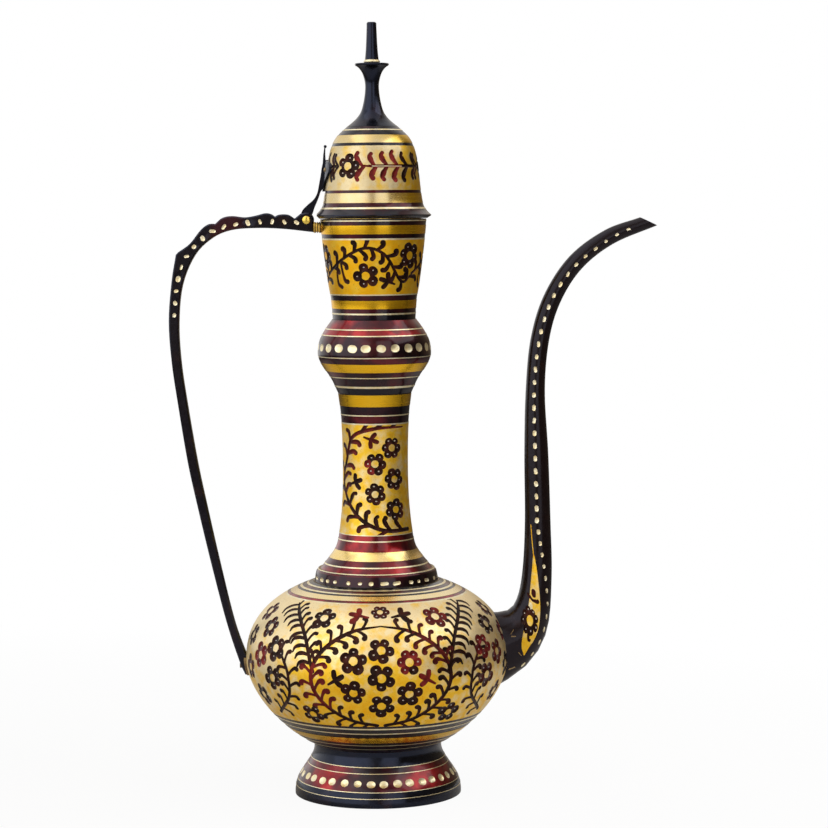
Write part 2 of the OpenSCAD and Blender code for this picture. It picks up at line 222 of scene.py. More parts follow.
class Skin:
    """Gathers patches of faces with their own normals and joins them into one mesh."""

    def __init__(self):
        self.patches = []

    def add(self, points, faces, normals, ink, warm=0.0):
        """Faces index the points. Normals are one for each point, or one for each corner of each face."""
        if normals.ndim == 2:
            normals = normals[faces]
        inks, warms = (np.broadcast_to(values, len(faces)) for values in (ink, warm))
        self.patches.append((points[faces], normals, inks, warms))

    def build(self, name, own_normals=True):
        spots = np.concatenate([corners.reshape(-1, 3) for corners, *_ in self.patches])
        grains = np.round(spots / GRAIN).astype(np.int64)
        _, first, index = np.unique(grains, axis=0, return_index=True, return_inverse=True)
        index = index.ravel()
        faces, normals, inks, warms = [], [], [], []
        start = 0
        for corners, corner_normals, ink, warm in self.patches:
            size = corners.shape[1]
            rows = index[start:start + len(corners) * size].reshape(-1, size)
            start += rows.size
            for row, row_normals, face_ink, face_warm in zip(rows.tolist(), corner_normals, ink, warm):
                keep = [k for k in range(size) if row[k] not in row[:k]]
                if len(keep) < 3:
                    continue
                faces.append([row[k] for k in keep])
                normals.extend(row_normals[keep])
                inks.append(int(face_ink))
                warms.append(float(face_warm))
        used = sorted(set(inks))
        mesh = bpy.data.meshes.new(name)
        mesh.from_pydata(spots[first] * MM, [], faces)
        mesh.polygons.foreach_set("use_smooth", [True] * len(faces))
        mesh.polygons.foreach_set("material_index", [used.index(i) for i in inks])
        mesh.attributes.new("warm", "FLOAT", "FACE").data.foreach_set("value", warms)
        for ink in used:
            mesh.materials.append(looks[ink])
        if own_normals:
            mesh.normals_split_custom_set(np.array(normals).tolist())
        return show(name, mesh)


def grid_faces(rows, columns):
    first = (np.arange(rows - 1)[:, None] * columns + np.arange(columns - 1)).ravel()
    return np.stack([first, first + 1, first + columns + 1, first + columns], 1)


def lathe(skin, profile, ink, warm=0.0):
    """Sweeps a profile of (r, z) points round the axis. Upwards its outside faces out, downwards in."""
    profile = np.asarray(profile, float)
    ways = direction(profile)
    u = turns_round(COLUMNS)
    points = around(profile[:, :1], u, profile[:, 1:]).reshape(-1, 3)
    normals = around(ways[:, 1:], u, -ways[:, :1]).reshape(-1, 3)
    skin.add(points, grid_faces(len(profile), len(u)), normals, ink, warm)


def lathe_corners(skin, corners, ink):
    """Sweeps straight lines between corners, each with a sharp edge."""
    for a, b in zip(corners, corners[1:]):
        lathe(skin, [a, b], ink)


def vertex_normals(points, triangles):
    a, b, c = (points[triangles[:, k]] for k in range(3))
    face = np.cross(b - a, c - a)
    total = np.zeros_like(points)
    for k in range(3):
        np.add.at(total, triangles[:, k], face)
    return unit(total)


# Decoration

class Stroke:
    """A groove or dimple along a spine. A high power gives it a flat floor."""

    def __init__(self, spine, half, depth, ink, warm, power):
        self.spine, self.half, self.depth = spine, half, depth
        self.ink, self.warm, self.power = ink, warm, power

    def moved(self, du):
        return Stroke(self.spine + [du, 0], self.half, self.depth, self.ink, self.warm, self.power)

    def outline(self, share=1.0, cap_steps=7):
        """Its two sides and two round ends, anticlockwise, at a share of its width."""
        half, t = share * self.half, direction(self.spine)
        n = left_of(t)
        side = n * half[:, None]
        swing = np.linspace(-math.pi / 2, math.pi / 2, cap_steps + 2)[1:-1, None]
        end = self.spine[-1] + half[-1] * (np.cos(swing) * t[-1] + np.sin(swing) * n[-1])
        start = self.spine[0] - half[0] * (np.cos(swing) * t[0] + np.sin(swing) * n[0])
        return np.concatenate([self.spine - side, end, (self.spine + side)[::-1], start])

    def depth_at(self, places):
        a, ab = self.spine[:-1], np.diff(self.spine, axis=0)
        t = np.clip(((places[:, None] - a) * ab).sum(-1) / np.maximum((ab * ab).sum(-1), 1e-12), 0, 1)
        gap = np.linalg.norm(places[:, None] - a - t[..., None] * ab, axis=-1)
        share = (gap / (self.half[:-1] + t * np.diff(self.half))).min(axis=1)
        return self.depth * np.clip(1 - share ** self.power, 0, 1)


class Panel:
    """A stretch of a surface, inside an edge, with points on its ground and strokes cut into it."""

    def __init__(self, surface, edge, ground, ink, warm, seed):
        self.surface, self.edge, self.ground = surface, np.asarray(edge), ground
        self.ink, self.warm = ink, warm
        self.strokes = []
        self.random = random.Random(seed)

    def at(self, start, spot, side=1):
        """Place of a spot, given in degrees to one side of a start, and its height or length."""
        return self.surface.at(start + side * spot[0], spot[1])

    def about(self, spread):
        """A factor near 1."""
        return 1 + spread * (2 * self.random.random() - 1)

    def per_mm(self, place):
        return 1 / self.surface.scale(place)

    def cut(self, spine, half, depth, ink=CUT, warm=0.0, power=2.0):
        stroke = Stroke(np.asarray(spine, float), np.asarray(half, float), depth, ink, warm, power)
        self.strokes.append(stroke)
        if self.surface.closed:
            turns, edge_turns = stroke.outline()[:, 0], self.edge[:, 0]
            if turns.min() < edge_turns.min():
                self.strokes.append(stroke.moved(FULL))
            if turns.max() > edge_turns.max():
                self.strokes.append(stroke.moved(-FULL))

    def dot(self, place, long, wide, depth, ink, lean=0.0, warm=0.0):
        """An oval dimple, long x wide in millimetres."""
        k = self.per_mm(place)
        reach = max(long - wide, 0.1) / 2 * k * rotated(AHEAD, lean)
        self.cut([place - reach, place, place + reach], np.full(3, wide / 2 * k), depth, ink, warm)

    def flower(self, place, size, petals, warm=0.0, dull=()):
        """A ring of petals about a bare centre, each with a pale spot painted in as a highlight. Petals
        numbered in dull take the other warmth."""
        ring_r, ring_half, ring_depth = 0.48, 0.15, 0.2
        petal_r, petal_half, petal_depth = 0.68, {5: 0.36, 6: 0.33}.get(petals, 0.22), 0.4
        highlight_long, highlight_wide, highlight_depth = 0.8, 0.6, 0.05
        k = self.per_mm(place) * size
        spin = self.random.random() * FULL
        for first in (0, math.pi):
            swing = np.linspace(first, first + math.pi, 9)
            ring = place + ring_r * k * np.stack([np.cos(swing), np.sin(swing)], 1)
            self.cut(ring, np.full(len(ring), ring_half * k), ring_depth, warm=warm)
        middles = []
        for i in range(petals):
            way = rotated(AHEAD, spin + FULL * i / petals + 0.15 * (self.random.random() - 0.5))
            middle = place + petal_r * self.about(0.06) * k * way
            sweep = 0.05 * k * rotated(way, math.pi / 2 + 0.5 * (self.random.random() - 0.5))
            tint = 1 - warm if i in dull else warm
            half = np.full(3, petal_half * self.about(0.13) * k)
            self.cut([middle - sweep, middle, middle + sweep], half, petal_depth, warm=tint)
            middles.append(middle)
        # A pale spot in each petal: a painted highlight
        for middle in middles:
            spot = middle + 0.08 * k * np.array([self.random.random() - 0.5, self.random.random() - 0.3])
            self.dot(spot, highlight_long * self.about(0.3), highlight_wide * self.about(0.25), highlight_depth, PAINTED_HIGHLIGHT)

    def vine(self, places, width, warm=0.0, reds=(0, 1)):
        """A groove through the places, thin at its tip, warm between two shares of its length. Returns its
        spine."""
        depth = 0.3
        spine = spline(places)
        along = np.linspace(0, 1, len(spine))
        half = np.array([0.5 * width * self.per_mm(p) for p in spine])
        half *= np.minimum(1, 0.35 + 4 * (1 - along))
        self.cut(spine, half, depth)
        if warm:
            part = (along >= reds[0]) & (along <= reds[1])
            self.cut(spine[part], half[part], depth, warm=warm)
        return spine

    def leaf(self, root, way, side, length, head, warm=0.0, droop=0.32, belly=0.8):
        """A stalk that leaves its root along way, bends to its side and ends in a round head. Head and belly
        are half widths."""
        stalk, depth = 0.72, 0.26
        k = self.per_mm(root)
        heading = unit(np.asarray(way, float))
        out, bend = heading * length * k, rotated(heading, side * math.pi / 2) * length * k
        spine = spline([root, root + 0.45 * out + 0.02 * bend, root + 0.8 * out + 0.4 * droop * bend,
                        root + 0.88 * out + droop * bend], 5)
        share = np.linspace(0, 1, len(spine))
        half = np.interp(share, [0, 0.45, 0.8, 1], [stalk, belly, max(0.92 * head, 0.7 * belly), head]) * k
        self.cut(spine, half, depth, warm=warm)

    def leaves(self, spine, sides, spacing, length, head, spread, skip, warm=0.0, reds=(0, 1), **shape):
        """Leaves along a spine, on its sides in turn, warm between two shares of its length. Shape is each
        leaf's droop and belly."""
        run = running(step_lengths(spine) / [self.per_mm(p) for p in spine[1:]])
        ways = direction(spine)
        reach = skip
        count = 0
        while reach < run[-1]:
            side = sides[count % len(sides)]
            tint = warm if reds[0] <= reach / run[-1] <= reds[1] else 0.0
            swing = side * math.radians(spread * self.about(0.15))
            self.leaf(part_way(spine, run, reach), rotated(unit(part_way(ways, run, reach)), swing), side,
                      length * self.about(0.15), head * self.about(0.15), tint, **shape)
            reach += spacing * self.about(0.12)
            count += 1

    def sprig(self, place, lean, size, warm=0.0):
        """A small leaf of three lobes on a stalk."""
        stalk, depth = 180, 0.26
        k = self.per_mm(place) * size
        for angle in (stalk, -66, 0, 66):
            way = rotated(AHEAD, lean + math.radians(angle)) * k * self.about(0.1)
            widths = [0.16, 0.13, 0.11] if angle == stalk else [0.16, 0.26, 0.24]
            spine = [place + share * way for share in (0.1, 0.45, 0.75)]
            self.cut(spine, np.array(widths) * k, depth, warm=warm)

    def build(self, skin):
        """Triangulates the panel and adds it to the skin."""
        inside_only, nearest = 1, 1e-7
        points, faces = [self.edge], [list(range(len(self.edge)))]
        total = len(self.edge)
        loose = [self.ground]
        for stroke in self.strokes:
            outline = stroke.outline()
            faces.append(list(range(total, total + len(outline))))
            points.append(outline)
            total += len(outline)
            loose.append(stroke.spine)
            if len(stroke.spine) < 4:
                loose.append(stroke.outline(share=0.55, cap_steps=5))
        flat = [Vector(p) for p in np.concatenate(points + loose)]
        spots, _, triangles, _, _, owners = delaunay_2d_cdt(flat, [], faces, inside_only, nearest, True)
        inside = [k for k, own in enumerate(owners) if 0 in own]
        places = np.array([[p.x, p.y] for p in spots])
        triangles = np.array([triangles[k] for k in inside])
        top = np.array([max(owners[k]) for k in inside])
        depth = np.zeros(len(places))
        members = [[] for _ in faces]
        for row, k in enumerate(inside):
            for own in owners[k]:
                members[own].append(row)
        for own, stroke in enumerate(self.strokes, 1):
            if members[own]:
                ids = np.unique(triangles[members[own]])
                depth[ids] = np.maximum(depth[ids], stroke.depth_at(places[ids]))
        if self.surface.closed:
            depth *= self.fade(places)
        u, q = places.T
        normals = self.surface.normal(u, q)[triangles]
        cuts = triangles[top > 0]
        normals[top > 0] = vertex_normals(self.surface.point(u, q, RELIEF * depth), cuts)[cuts]
        inks = np.array([self.ink] + [s.ink for s in self.strokes])[top]
        warms = np.array([self.warm] + [s.warm for s in self.strokes])[top]
        skin.add(self.surface.point(u, q, depth), triangles, normals, inks, warms)

    def fade(self, places):
        """Strokes run out where they meet the upper or lower edge."""
        rim_mm = 0.8
        rim = rim_mm * self.per_mm(places[len(places) // 2])
        turns = np.unique(np.round(self.edge[:, 0], 6))
        rows = [self.edge[np.abs(self.edge[:, 0] - u) < 1e-5, 1] for u in turns]
        lower = np.interp(places[:, 0], turns, [row.min() for row in rows])
        upper = np.interp(places[:, 0], turns, [row.max() for row in rows])
        return np.clip((places[:, 1] - lower) / rim, 0, 1) * np.clip((upper - places[:, 1]) / rim, 0, 1)


def round_panel(surface, z0, z1, ink, warm, seed):
    """Panel right round a turned surface."""
    u = turns_round(COLUMNS)
    q0, q1 = surface.at(0, z0)[1], surface.at(0, z1)[1]
    rows = max(2, round((q1 - q0) / (FULL / COLUMNS)))
    q = np.linspace(q0, q1, rows + 1)
    edge = [(v, q0) for v in u] + [(u[-1], v) for v in q[1:-1]]
    edge += [(v, q1) for v in u[::-1]] + [(u[0], v) for v in q[-2:0:-1]]
    ground = np.stack(np.meshgrid(u[1:-1], q[1:-1]), -1).reshape(-1, 2)
    return Panel(surface, edge, ground, ink, warm, seed)


def engrave(skin, surface, z0, z1, motif, starts, seed):
    """Brass ground right round a piece, with a motif cut into it at each start."""
    panel = round_panel(surface, z0, z1, GROUND, warm=0.0, seed=seed)
    for start in starts:
        motif(panel, start)
    panel.build(skin)


def dots_round(panel, count, z, long, wide):
    """A row of cut dots right round a piece."""
    spread, depth = 0.1, 0.22
    for i in range(count):
        place = panel.surface.at(360 * (i + 0.5) / count - 90 + panel.random.uniform(-0.6, 0.6),
                                 z + panel.random.uniform(-0.15, 0.15))
        panel.dot(place, long * panel.about(spread), wide * panel.about(spread), depth, CHIP,
                  panel.random.uniform(-0.2, 0.2))


def bands(skin, surface, start, rows):
    """Turned bands from start upwards. A row is its top, its ink and, if any, its warmth; ink None leaves a
    gap."""
    floor, last = start, None
    for top, ink, *warm in rows:
        profile = surface.part(floor, top, STEP if ink in (ENAMEL, BLACK) else 0.0)
        if last is not None and np.abs(last - profile[0]).max() > GRAIN:
            lathe(skin, [last, profile[0]], ENAMEL)
        if ink is not None:
            lathe(skin, profile, ink, *warm)
        floor, last = top, profile[-1]


# Profiles of the turned pieces

FOOT_R, WAIST_R, BODY_R, SHOULDER_R, EQUATOR_Z = 43, 33, 67.5, 32.5, 69
RIM_R, RIM_FLAT, BEZEL_R, LID_WALL = 29.6, 28.6, 24.45, 1.5
DISC_LOW = 373.2
foot_top, shoulder_z, collar_z = high("foot"), low("collar"), high("collar")
column_top, cup_low = low("neck_knop"), high("neck_knop")
mouth_z, rim_z, crown_z = high("neck_cup"), low("lid_dome"), high("lid_dome")
disc_z, ring_top, tip_z = low("finial_ring"), high("finial_ring"), high("finial_spike")
lid_low, tip_low = rim_z + 1.8, tip_z - 0.6


def swell(height, r_power, z_power, end_r):
    """Half of the body's profile, from its equator to where its radius is end_r."""
    a = np.linspace(0, math.acos((end_r / BODY_R) ** (r_power / 2)), 49)
    r = BODY_R * np.cos(a) ** (2 / r_power)
    return np.stack([r, EQUATOR_Z + height * np.sin(a) ** (2 / z_power)], 1)


foot_shape = [(1, 0), (0.99, 0.1), (0.9, 0.26), (0.66, 0.43), (0.36, 0.6), (0.1, 0.77), (0, 0.89), (0, 1)]
foot = Turned(spline([(WAIST_R + (FOOT_R - WAIST_R) * r, foot_top * z) for r, z in foot_shape]))
lower_half = swell(-51.4, 1.87, 1.63, WAIST_R)[::-1]
upper_half = swell(46.4, 1.9, 2.44, SHOULDER_R)
body = Turned(np.concatenate([lower_half, upper_half[1:]]))
collar = Turned(spline([
    (31.9, shoulder_z), (31.4, shoulder_z + 2.6), (30.8, shoulder_z + 5.2), (29.8, collar_z)]))
column = Turned(spline([
    (28.8, collar_z), (25.2, 121.2), (21.6, 126), (19.6, 131.5), (18, 142), (17, 155), (16.7, 170), (17, 186),
    (17.8, 198), (18.9, column_top)]))
knop = Turned(spline([
    (19, column_top), (22.3, 214), (26.4, 220.2), (28.6, 224.4), (29, 228.4), (28.4, 232.6), (26.9, 236.6),
    (24.4, 240.7), (21.6, cup_low)]))
cup = Turned(spline([
    (21.3, cup_low), (21.9, 254), (23.6, 264.5), (25.4, 278), (26.7, 289.5), (27.2, mouth_z)]))
lid = Turned(spline([
    (RIM_R, lid_low), (27.4, 299.9), (25.8, 302.6), (24.8, 307.5), (23.9, 315), (23, 324), (21, 332.2),
    (18, 337.6), (13.2, crown_z)]))
stem = Turned(spline([
    (13, crown_z), (10, 344.6), (7.6, 347), (5.7, 350), (4.4, 354.6), (3.6, 360), (3.6, 364.5), (4.8, 369),
    (6.6, 371.8), (8.5, DISC_LOW)]))
spike = Turned(spline([
    (3.5, ring_top), (3.1, ring_top + 4), (2.8, ring_top + 9), (2.5, tip_z - 2.5), (2.5, tip_low)]))


# Materials

class Tree:
    """Nodes of a material or a world."""

    def __init__(self, owner):
        owner.use_nodes = True
        self.tree = owner.node_tree

    def feed(self, node, inputs):
        for socket, value in inputs.items():
            if isinstance(value, bpy.types.NodeSocket):
                self.tree.links.new(value, node.inputs[socket])
            else:
                node.inputs[socket].default_value = value

    def node(self, kind, inputs=None, **settings):
        made = self.tree.nodes.new(kind)
        for name, value in settings.items():
            setattr(made, name, value)
        self.feed(made, inputs or {})
        return made

    def span(self, value, from_low, from_high, to_low=0.0, to_high=1.0, how="LINEAR"):
        """A value from one range brought to another, and kept inside it."""
        inputs = {"Value": value, "From Min": from_low, "From Max": from_high, "To Min": to_low,
                  "To Max": to_high}
        return self.node("ShaderNodeMapRange", inputs, interpolation_type=how).outputs["Result"]

    def mix(self, factor, a, b):
        ends = ((*color, 1) if isinstance(color, tuple) else color for color in (a, b))
        return self.node("ShaderNodeMix", dict(zip((0, 6, 7), (factor, *ends))), data_type="RGBA").outputs[2]

    def math(self, how, a, b=0.0):
        return self.node("ShaderNodeMath", {0: a, 1: b}, operation=how).outputs[0]


class Look(Tree):
    """A node material on one Principled shader, with lengths in millimetres."""

    def __init__(self, name, values):
        self.material = bpy.data.materials.new(name)
        super().__init__(self.material)
        self.shader = self.tree.nodes["Principled BSDF"]
        self.feed(self.shader, values)
        self.place = self.node("ShaderNodeTexCoord").outputs["Object"]
        split = self.node("ShaderNodeSeparateXYZ", {"Vector": self.place})
        self.across, self.height = (self.math("DIVIDE", split.outputs[axis], MM) for axis in "XZ")

    def warmth(self):
        return self.node("ShaderNodeAttribute", attribute_name="warm").outputs["Fac"]

    def noise(self, size, detail, stretch=(1, 1, 1)):
        """Noise whose features are about size mm across, from 0 to 1."""
        spot = self.node("ShaderNodeMapping", {"Vector": self.place, "Scale": stretch}).outputs[0]
        inputs = {"Vector": spot, "Scale": 1 / (size * MM), "Detail": detail}
        return self.node("ShaderNodeTexNoise", inputs).outputs["Fac"]

    def mottle(self, size, detail, from_low, from_high, a, b):
        """Two colours, mixed by noise between two of its levels."""
        return self.mix(self.span(self.noise(size, detail), from_low, from_high), a, b)

    def ramp(self, value, stops):
        """Colour at a value, from rising values with their colours."""
        first, last = stops[0][0], stops[-1][0]
        made = self.node("ShaderNodeValToRGB", {"Fac": self.span(value, first, last)})
        marks = made.color_ramp.elements
        for spot, _ in stops[1:-1]:
            marks.new((spot - first) / (last - first))
        for mark, (_, color) in zip(marks, stops):
            mark.color = (*color, 1)
        return made.outputs["Color"]

    def curve(self, value, stops):
        """Number at a value, from rising values with their numbers."""
        return self.ramp(value, [(spot, (number, number, number)) for spot, number in stops])

    def bump(self, height, depth, strength):
        made = self.node("ShaderNodeBump", {"Height": height, "Distance": depth * MM, "Strength": strength})
        self.feed(self.shader, {"Normal": made.outputs[0]})

    def finish(self, color, grain, smooth, rough):
        """Material with this colour, whose roughness follows the grain."""
        roughness = self.span(grain, 0.3, 0.7, smooth, rough)
        self.feed(self.shader, {"Base Color": color, "Roughness": roughness})
        return self.material


# Brass between pale, yellow and amber, and how far towards amber it is at each height: painted light and shade,
# paler where the surface faces up towards the lamps and more amber where it faces down
PALE, YELLOW, AMBER = (0.93, 0.76, 0.44), (0.97, 0.6, 0.04), (0.96, 0.49, 0.004)
PAINTED_LIGHT_BY_HEIGHT = [(30, 0.65), (46, 0.62), (62, 0.6), (80, 0.36), (100, 0.05), (112, 0.05), (120, 0.2), (127, 0.2),
         (135, 0.4), (190, 0.45), (200, 0.75), (222, 0.7), (250, 0.8), (258, 0.8), (285, 0.8), (289, 0.8),
         (294, 0.7), (300, 0.1), (332, 0.05), (338, 0.2)]
# Change of that with the distance from the axis to the left or right, where the next line's value stands for no
# change: a painted reflection, paler towards the sides of the body
SIDE_SHEEN_NONE = 0.35
PAINTED_SIDE_SHEEN = [(28, SIDE_SHEEN_NONE), (52, 0), (67, 0), (69, 0.62)]
# Share of crimson across the foot's front: a painted reflection, crimson towards its left and right where the
# lacquer catches the lamps and dark in the middle
FOOT_PAINTED_REFLECTION = [(-40, 0.2), (-30, 1), (-18, 1), (-8, 0.12), (12, 0.12), (20, 1), (34, 1), (40, 0.2)]
# Share of dark red along the handle's lobed top
LOBE_WARMTH = [(-84, 0), (-80, 1), (-70, 1), (-64, 0)]


def gilt(look, spread):
    """Brass colour with painted light and shade: set by height, paler towards the sides, on the lid darker and
    more amber to its right, and uneven from place to place.
    """
    # Painted light and shade by height
    height_light = look.curve(look.height, PAINTED_LIGHT_BY_HEIGHT)
    # Painted reflection: paler towards the sides
    side_sheen = look.math("SUBTRACT", look.curve(look.math("ABSOLUTE", look.across), PAINTED_SIDE_SHEEN), SIDE_SHEEN_NONE)
    patches = look.span(look.noise(5, 4), 0.3, 0.7, -spread, spread)
    # Painted shade on the lid: pushed towards amber on its right side
    on_lid = look.span(look.height, 296, 299)
    lid_right_shade = look.math("MULTIPLY", on_lid, look.span(look.across, 6, 20, 0, 0.45))
    whole = look.math("ADD", look.math("ADD", height_light, side_sheen), look.math("ADD", patches, lid_right_shade))
    color = look.ramp(whole, [(0, PALE), (0.5, YELLOW), (1, AMBER)])
    # Painted shade: the whole lid is darkened by a quarter
    return look.mix(look.math("MULTIPLY", on_lid, 0.24), color, (0.02, 0.012, 0.004))


def enamel_look():
    """Translucent black and crimson lacquer over brass, glossy and a little wavy. On the foot its crimson
    follows a painted reflection across the front.
    """
    look = Look("enamel", {"Metallic": 1.0, "Coat Weight": 0.6, "Coat Roughness": 0.12, "Coat IOR": 1.5})
    # On the foot, crimson only where the painted reflection across its front puts it
    above_foot = look.span(look.height, 20, 22)
    sides = look.math("MAXIMUM", look.curve(look.across, FOOT_PAINTED_REFLECTION), above_foot)
    patches = look.math("MULTIPLY", look.span(look.noise(18, 2), 0.42, 0.58, 0.35, 1.6), sides)
    share = look.span(look.math("MULTIPLY", look.warmth(), patches), 0, 1)
    dark = look.mottle(14, 4, 0.52, 0.74, (0.007, 0.0045, 0.01), (0.05, 0.006, 0.012))
    red = look.mottle(7, 3, 0.35, 0.7, (0.19, 0.007, 0.013), (0.44, 0.022, 0.024))
    look.bump(look.noise(2.2, 3), depth=0.05, strength=0.5)
    return look.finish(look.mix(share, dark, red), look.noise(5, 4), smooth=0.26, rough=0.42)


def cut_look():
    """Dark enamel rubbed into the engraving."""
    look = Look("enamel_in_cuts", {"Metallic": 0.8, "Specular IOR Level": 0.25, "Coat Weight": 0.12,
                                   "Coat Roughness": 0.2, "Coat IOR": 1.45})
    dark = look.mottle(6, 3, 0.45, 0.75, (0.016, 0.004, 0.002), (0.06, 0.011, 0.005))
    red = look.mottle(4, 3, 0.35, 0.7, (0.1, 0.006, 0.009), (0.26, 0.022, 0.016))
    look.bump(look.noise(0.8, 2), depth=0.03, strength=0.5)
    return look.finish(look.mix(look.warmth(), dark, red), look.noise(2, 3), smooth=0.34, rough=0.5)


def black_look():
    """Blue-black lacquer over cast brass, brown in patches of wear, and browner with the faces' warmth on the
    spout and handle as a painted reflection of warm surroundings.
    """
    look = Look("black_lacquer", {"Metallic": 0.0, "Specular IOR Level": 0.45, "Coat Weight": 0.08,
                                  "Coat Roughness": 0.1, "Coat IOR": 1.45})
    warm = look.warmth()
    # Brown from wear patches, and from the faces' warmth: a painted reflection of warm surroundings
    wear_and_warm_reflection = look.math("MAXIMUM", look.span(look.noise(11, 5), 0.56, 0.76), look.math("MULTIPLY", warm, 0.35))
    color = look.mix(wear_and_warm_reflection, (0.0025, 0.0022, 0.003), (0.024, 0.009, 0.005))
    lobe = look.math("MULTIPLY", look.curve(look.across, LOBE_WARMTH), look.span(look.height, 282, 288))
    color = look.mix(lobe, color, (0.045, 0.008, 0.009))
    look.feed(look.shader, {"Specular Tint": look.mix(warm, (0.5, 0.6, 1.0), (0.42, 0.38, 0.42))})
    look.bump(look.noise(1.6, 4), depth=0.07, strength=0.55)
    return look.finish(color, look.noise(3, 4), smooth=0.14, rough=0.28)


def ground_look():
    """Engraver's ground: lacquered brass, finely stippled."""
    look = Look("engraved_brass", {"Metallic": 0.9, "Coat Weight": 0.1, "Coat Roughness": 0.3,
                                   "Coat IOR": 1.5})
    pits = look.span(look.noise(0.55, 2), 0.62, 0.72, 0, 0.5)
    color = look.mix(pits, gilt(look, 0.36), (0.36, 0.17, 0.02))
    look.bump(look.noise(0.6, 2), depth=0.05, strength=0.5)
    return look.finish(color, look.noise(1.4, 4), smooth=0.36, rough=0.52)


def band_look():
    """Turned brass bands, with the fine marks of the lathe."""
    look = Look("turned_brass", {"Metallic": 0.95, "Anisotropic": 0.3})
    marks = look.noise(1.5, 3, stretch=(0.06, 0.06, 4))
    look.bump(marks, depth=0.008, strength=0.3)
    tangent = look.node("ShaderNodeTangent", direction_type="RADIAL", axis="Z")
    look.feed(look.shader, {"Tangent": tangent.outputs[0]})
    return look.finish(gilt(look, 0.08), marks, smooth=0.2, rough=0.28)


def chip_look():
    """Bright facets and lines cut through the enamel, and the finial's ring."""
    look = Look("bright_cuts", {"Metallic": 0.9, "Coat Weight": 0.3, "Coat Roughness": 0.2, "Coat IOR": 1.5})
    color = look.mottle(2.5, 3, 0.35, 0.65, (0.95, 0.88, 0.64), (0.9, 0.74, 0.4))
    look.bump(look.noise(0.7, 2), depth=0.04, strength=0.5)
    return look.finish(color, look.noise(1.2, 3), smooth=0.3, rough=0.45)


def painted_highlight_look():
    """Pale spots in the petals, painted in as highlights."""
    look = Look("painted_highlight_spots", {"Metallic": 0.3, "Coat Weight": 0.5, "Coat Roughness": 0.15, "Coat IOR": 1.5})
    color = look.mottle(1.5, 2, 0.35, 0.65, (0.5, 0.46, 0.48), (0.7, 0.58, 0.42))
    return look.finish(color, look.noise(1.2, 3), smooth=0.35, rough=0.5)


def polished_look():
    """Polished brass of the pin and the lid's bezel."""
    look = Look("polished_brass", {"Metallic": 1.0, "Coat Weight": 0.2, "Coat Roughness": 0.08})
    color = look.mottle(3, 4, 0.35, 0.65, (0.95, 0.72, 0.16), (0.88, 0.58, 0.07))
    look.bump(look.noise(1.2, 3), depth=0.03, strength=0.4)
    return look.finish(color, look.noise(1.5, 3), smooth=0.18, rough=0.32)


def ferrule_look():
    """Brass ferrule, darkened in stripes along X, one each groove step, and in patches."""
    groove_step = 1.3
    look = Look("grooved_brass", {"Metallic": 0.95})
    turns = look.math("SINE", look.math("MULTIPLY", look.across, FULL / groove_step))
    dark_stripes_and_patches = look.math("MAXIMUM", look.span(turns, 0.1, 0.6), look.span(look.noise(2.5, 3), 0.55, 0.7))
    color = look.mix(dark_stripes_and_patches, (0.85, 0.56, 0.12), (0.07, 0.035, 0.015))
    return look.finish(color, look.noise(1.5, 3), smooth=0.25, rough=0.42)


def old_look():
    """Dull brass inside the vessel and on its fixings."""
    look = Look("old_brass", {"Metallic": 1.0})
    color = look.mottle(6, 5, 0.38, 0.66, (0.46, 0.34, 0.17), (0.16, 0.1, 0.055))
    look.bump(look.noise(0.9, 4), depth=0.08, strength=0.6)
    return look.finish(color, look.noise(2.5, 4), smooth=0.38, rough=0.62)


looks = {ENAMEL: enamel_look(), GROUND: ground_look(), BAND: band_look(), CHIP: chip_look(),
         INSIDE: old_look(), BLACK: black_look(), CUT: cut_look(), PAINTED_HIGHLIGHT: painted_highlight_look(),
         POLISHED: polished_look()}


# Turned pieces

def dress(piece, body_name, slot, *nodes):
    """Attaches a piece to the body it rides on and hides the nodes it replaces. Its slot is not used."""
    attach(piece, body_name)
    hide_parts(*nodes)


def line_tube(skin, surface, z0, z1):
    """Inside of a neck piece with a ring at its lower end. Returns the inside's top."""
    inner = inset(surface.part(z0, z1), WALL)
    lathe(skin, inner[::-1], INSIDE)
    lathe(skin, [inner[0], (surface.radius(z0) - STEP, z0)], INSIDE)
    return inner[-1]


def make_foot():
    skin = Skin()
    dots_low, dots_high, hole_r = 8, 16.1, 14
    bands(skin, foot, 0, [
        (4.6, BLACK), (4.9, CHIP), (7.7, BLACK), (dots_low, CHIP), (dots_high, None), (16.4, CHIP),
        (19, ENAMEL, 0.3), (19.3, CHIP), (foot_top, BLACK)])
    panel = round_panel(foot, dots_low, dots_high, ENAMEL, warm=0.65, seed=3)
    dots_round(panel, 36, z=11.6, long=4.3, wide=3.7)
    panel.build(skin)
    inner = inset(foot.part(0, foot_top), WALL)
    inner = inner[(inner[:, 1] < foot_top - WALL) & (inner[:, 1] > 0)]
    lathe(skin, [(FOOT_R - WALL, 0), (FOOT_R - STEP, 0)], INSIDE)
    lathe(skin, inner[::-1], INSIDE)
    lathe(skin, [inner[0], (FOOT_R - WALL, 0)], INSIDE)
    lathe_corners(skin, [(hole_r, foot_top), (hole_r, foot_top - WALL), inner[-1]], INSIDE)
    dress(skin.build("foot_skin"), "vessel", "enamel", "foot")


# Body motif, in degrees from its middle and heights: an oval vine, with a fern and a stem beside it
OVAL_TURN, OVAL_HALF, OVAL_Z = 31, 25, 70
FERN_STEM = [(30, 73), (37, 90), (55, 103)]
SIDE_STEM = [(58, 48), (45, 58), (43, 70), (49, 82)]
# Flowers inside the oval and over it
RED_FLOWER, TOP_FLOWER = (12, 78), (0, 101)
MIDDLE_FLOWERS = [(-12, 79), (0, 84), (0, 70.5), (0, 56), (-12, 63), (12, 62)]
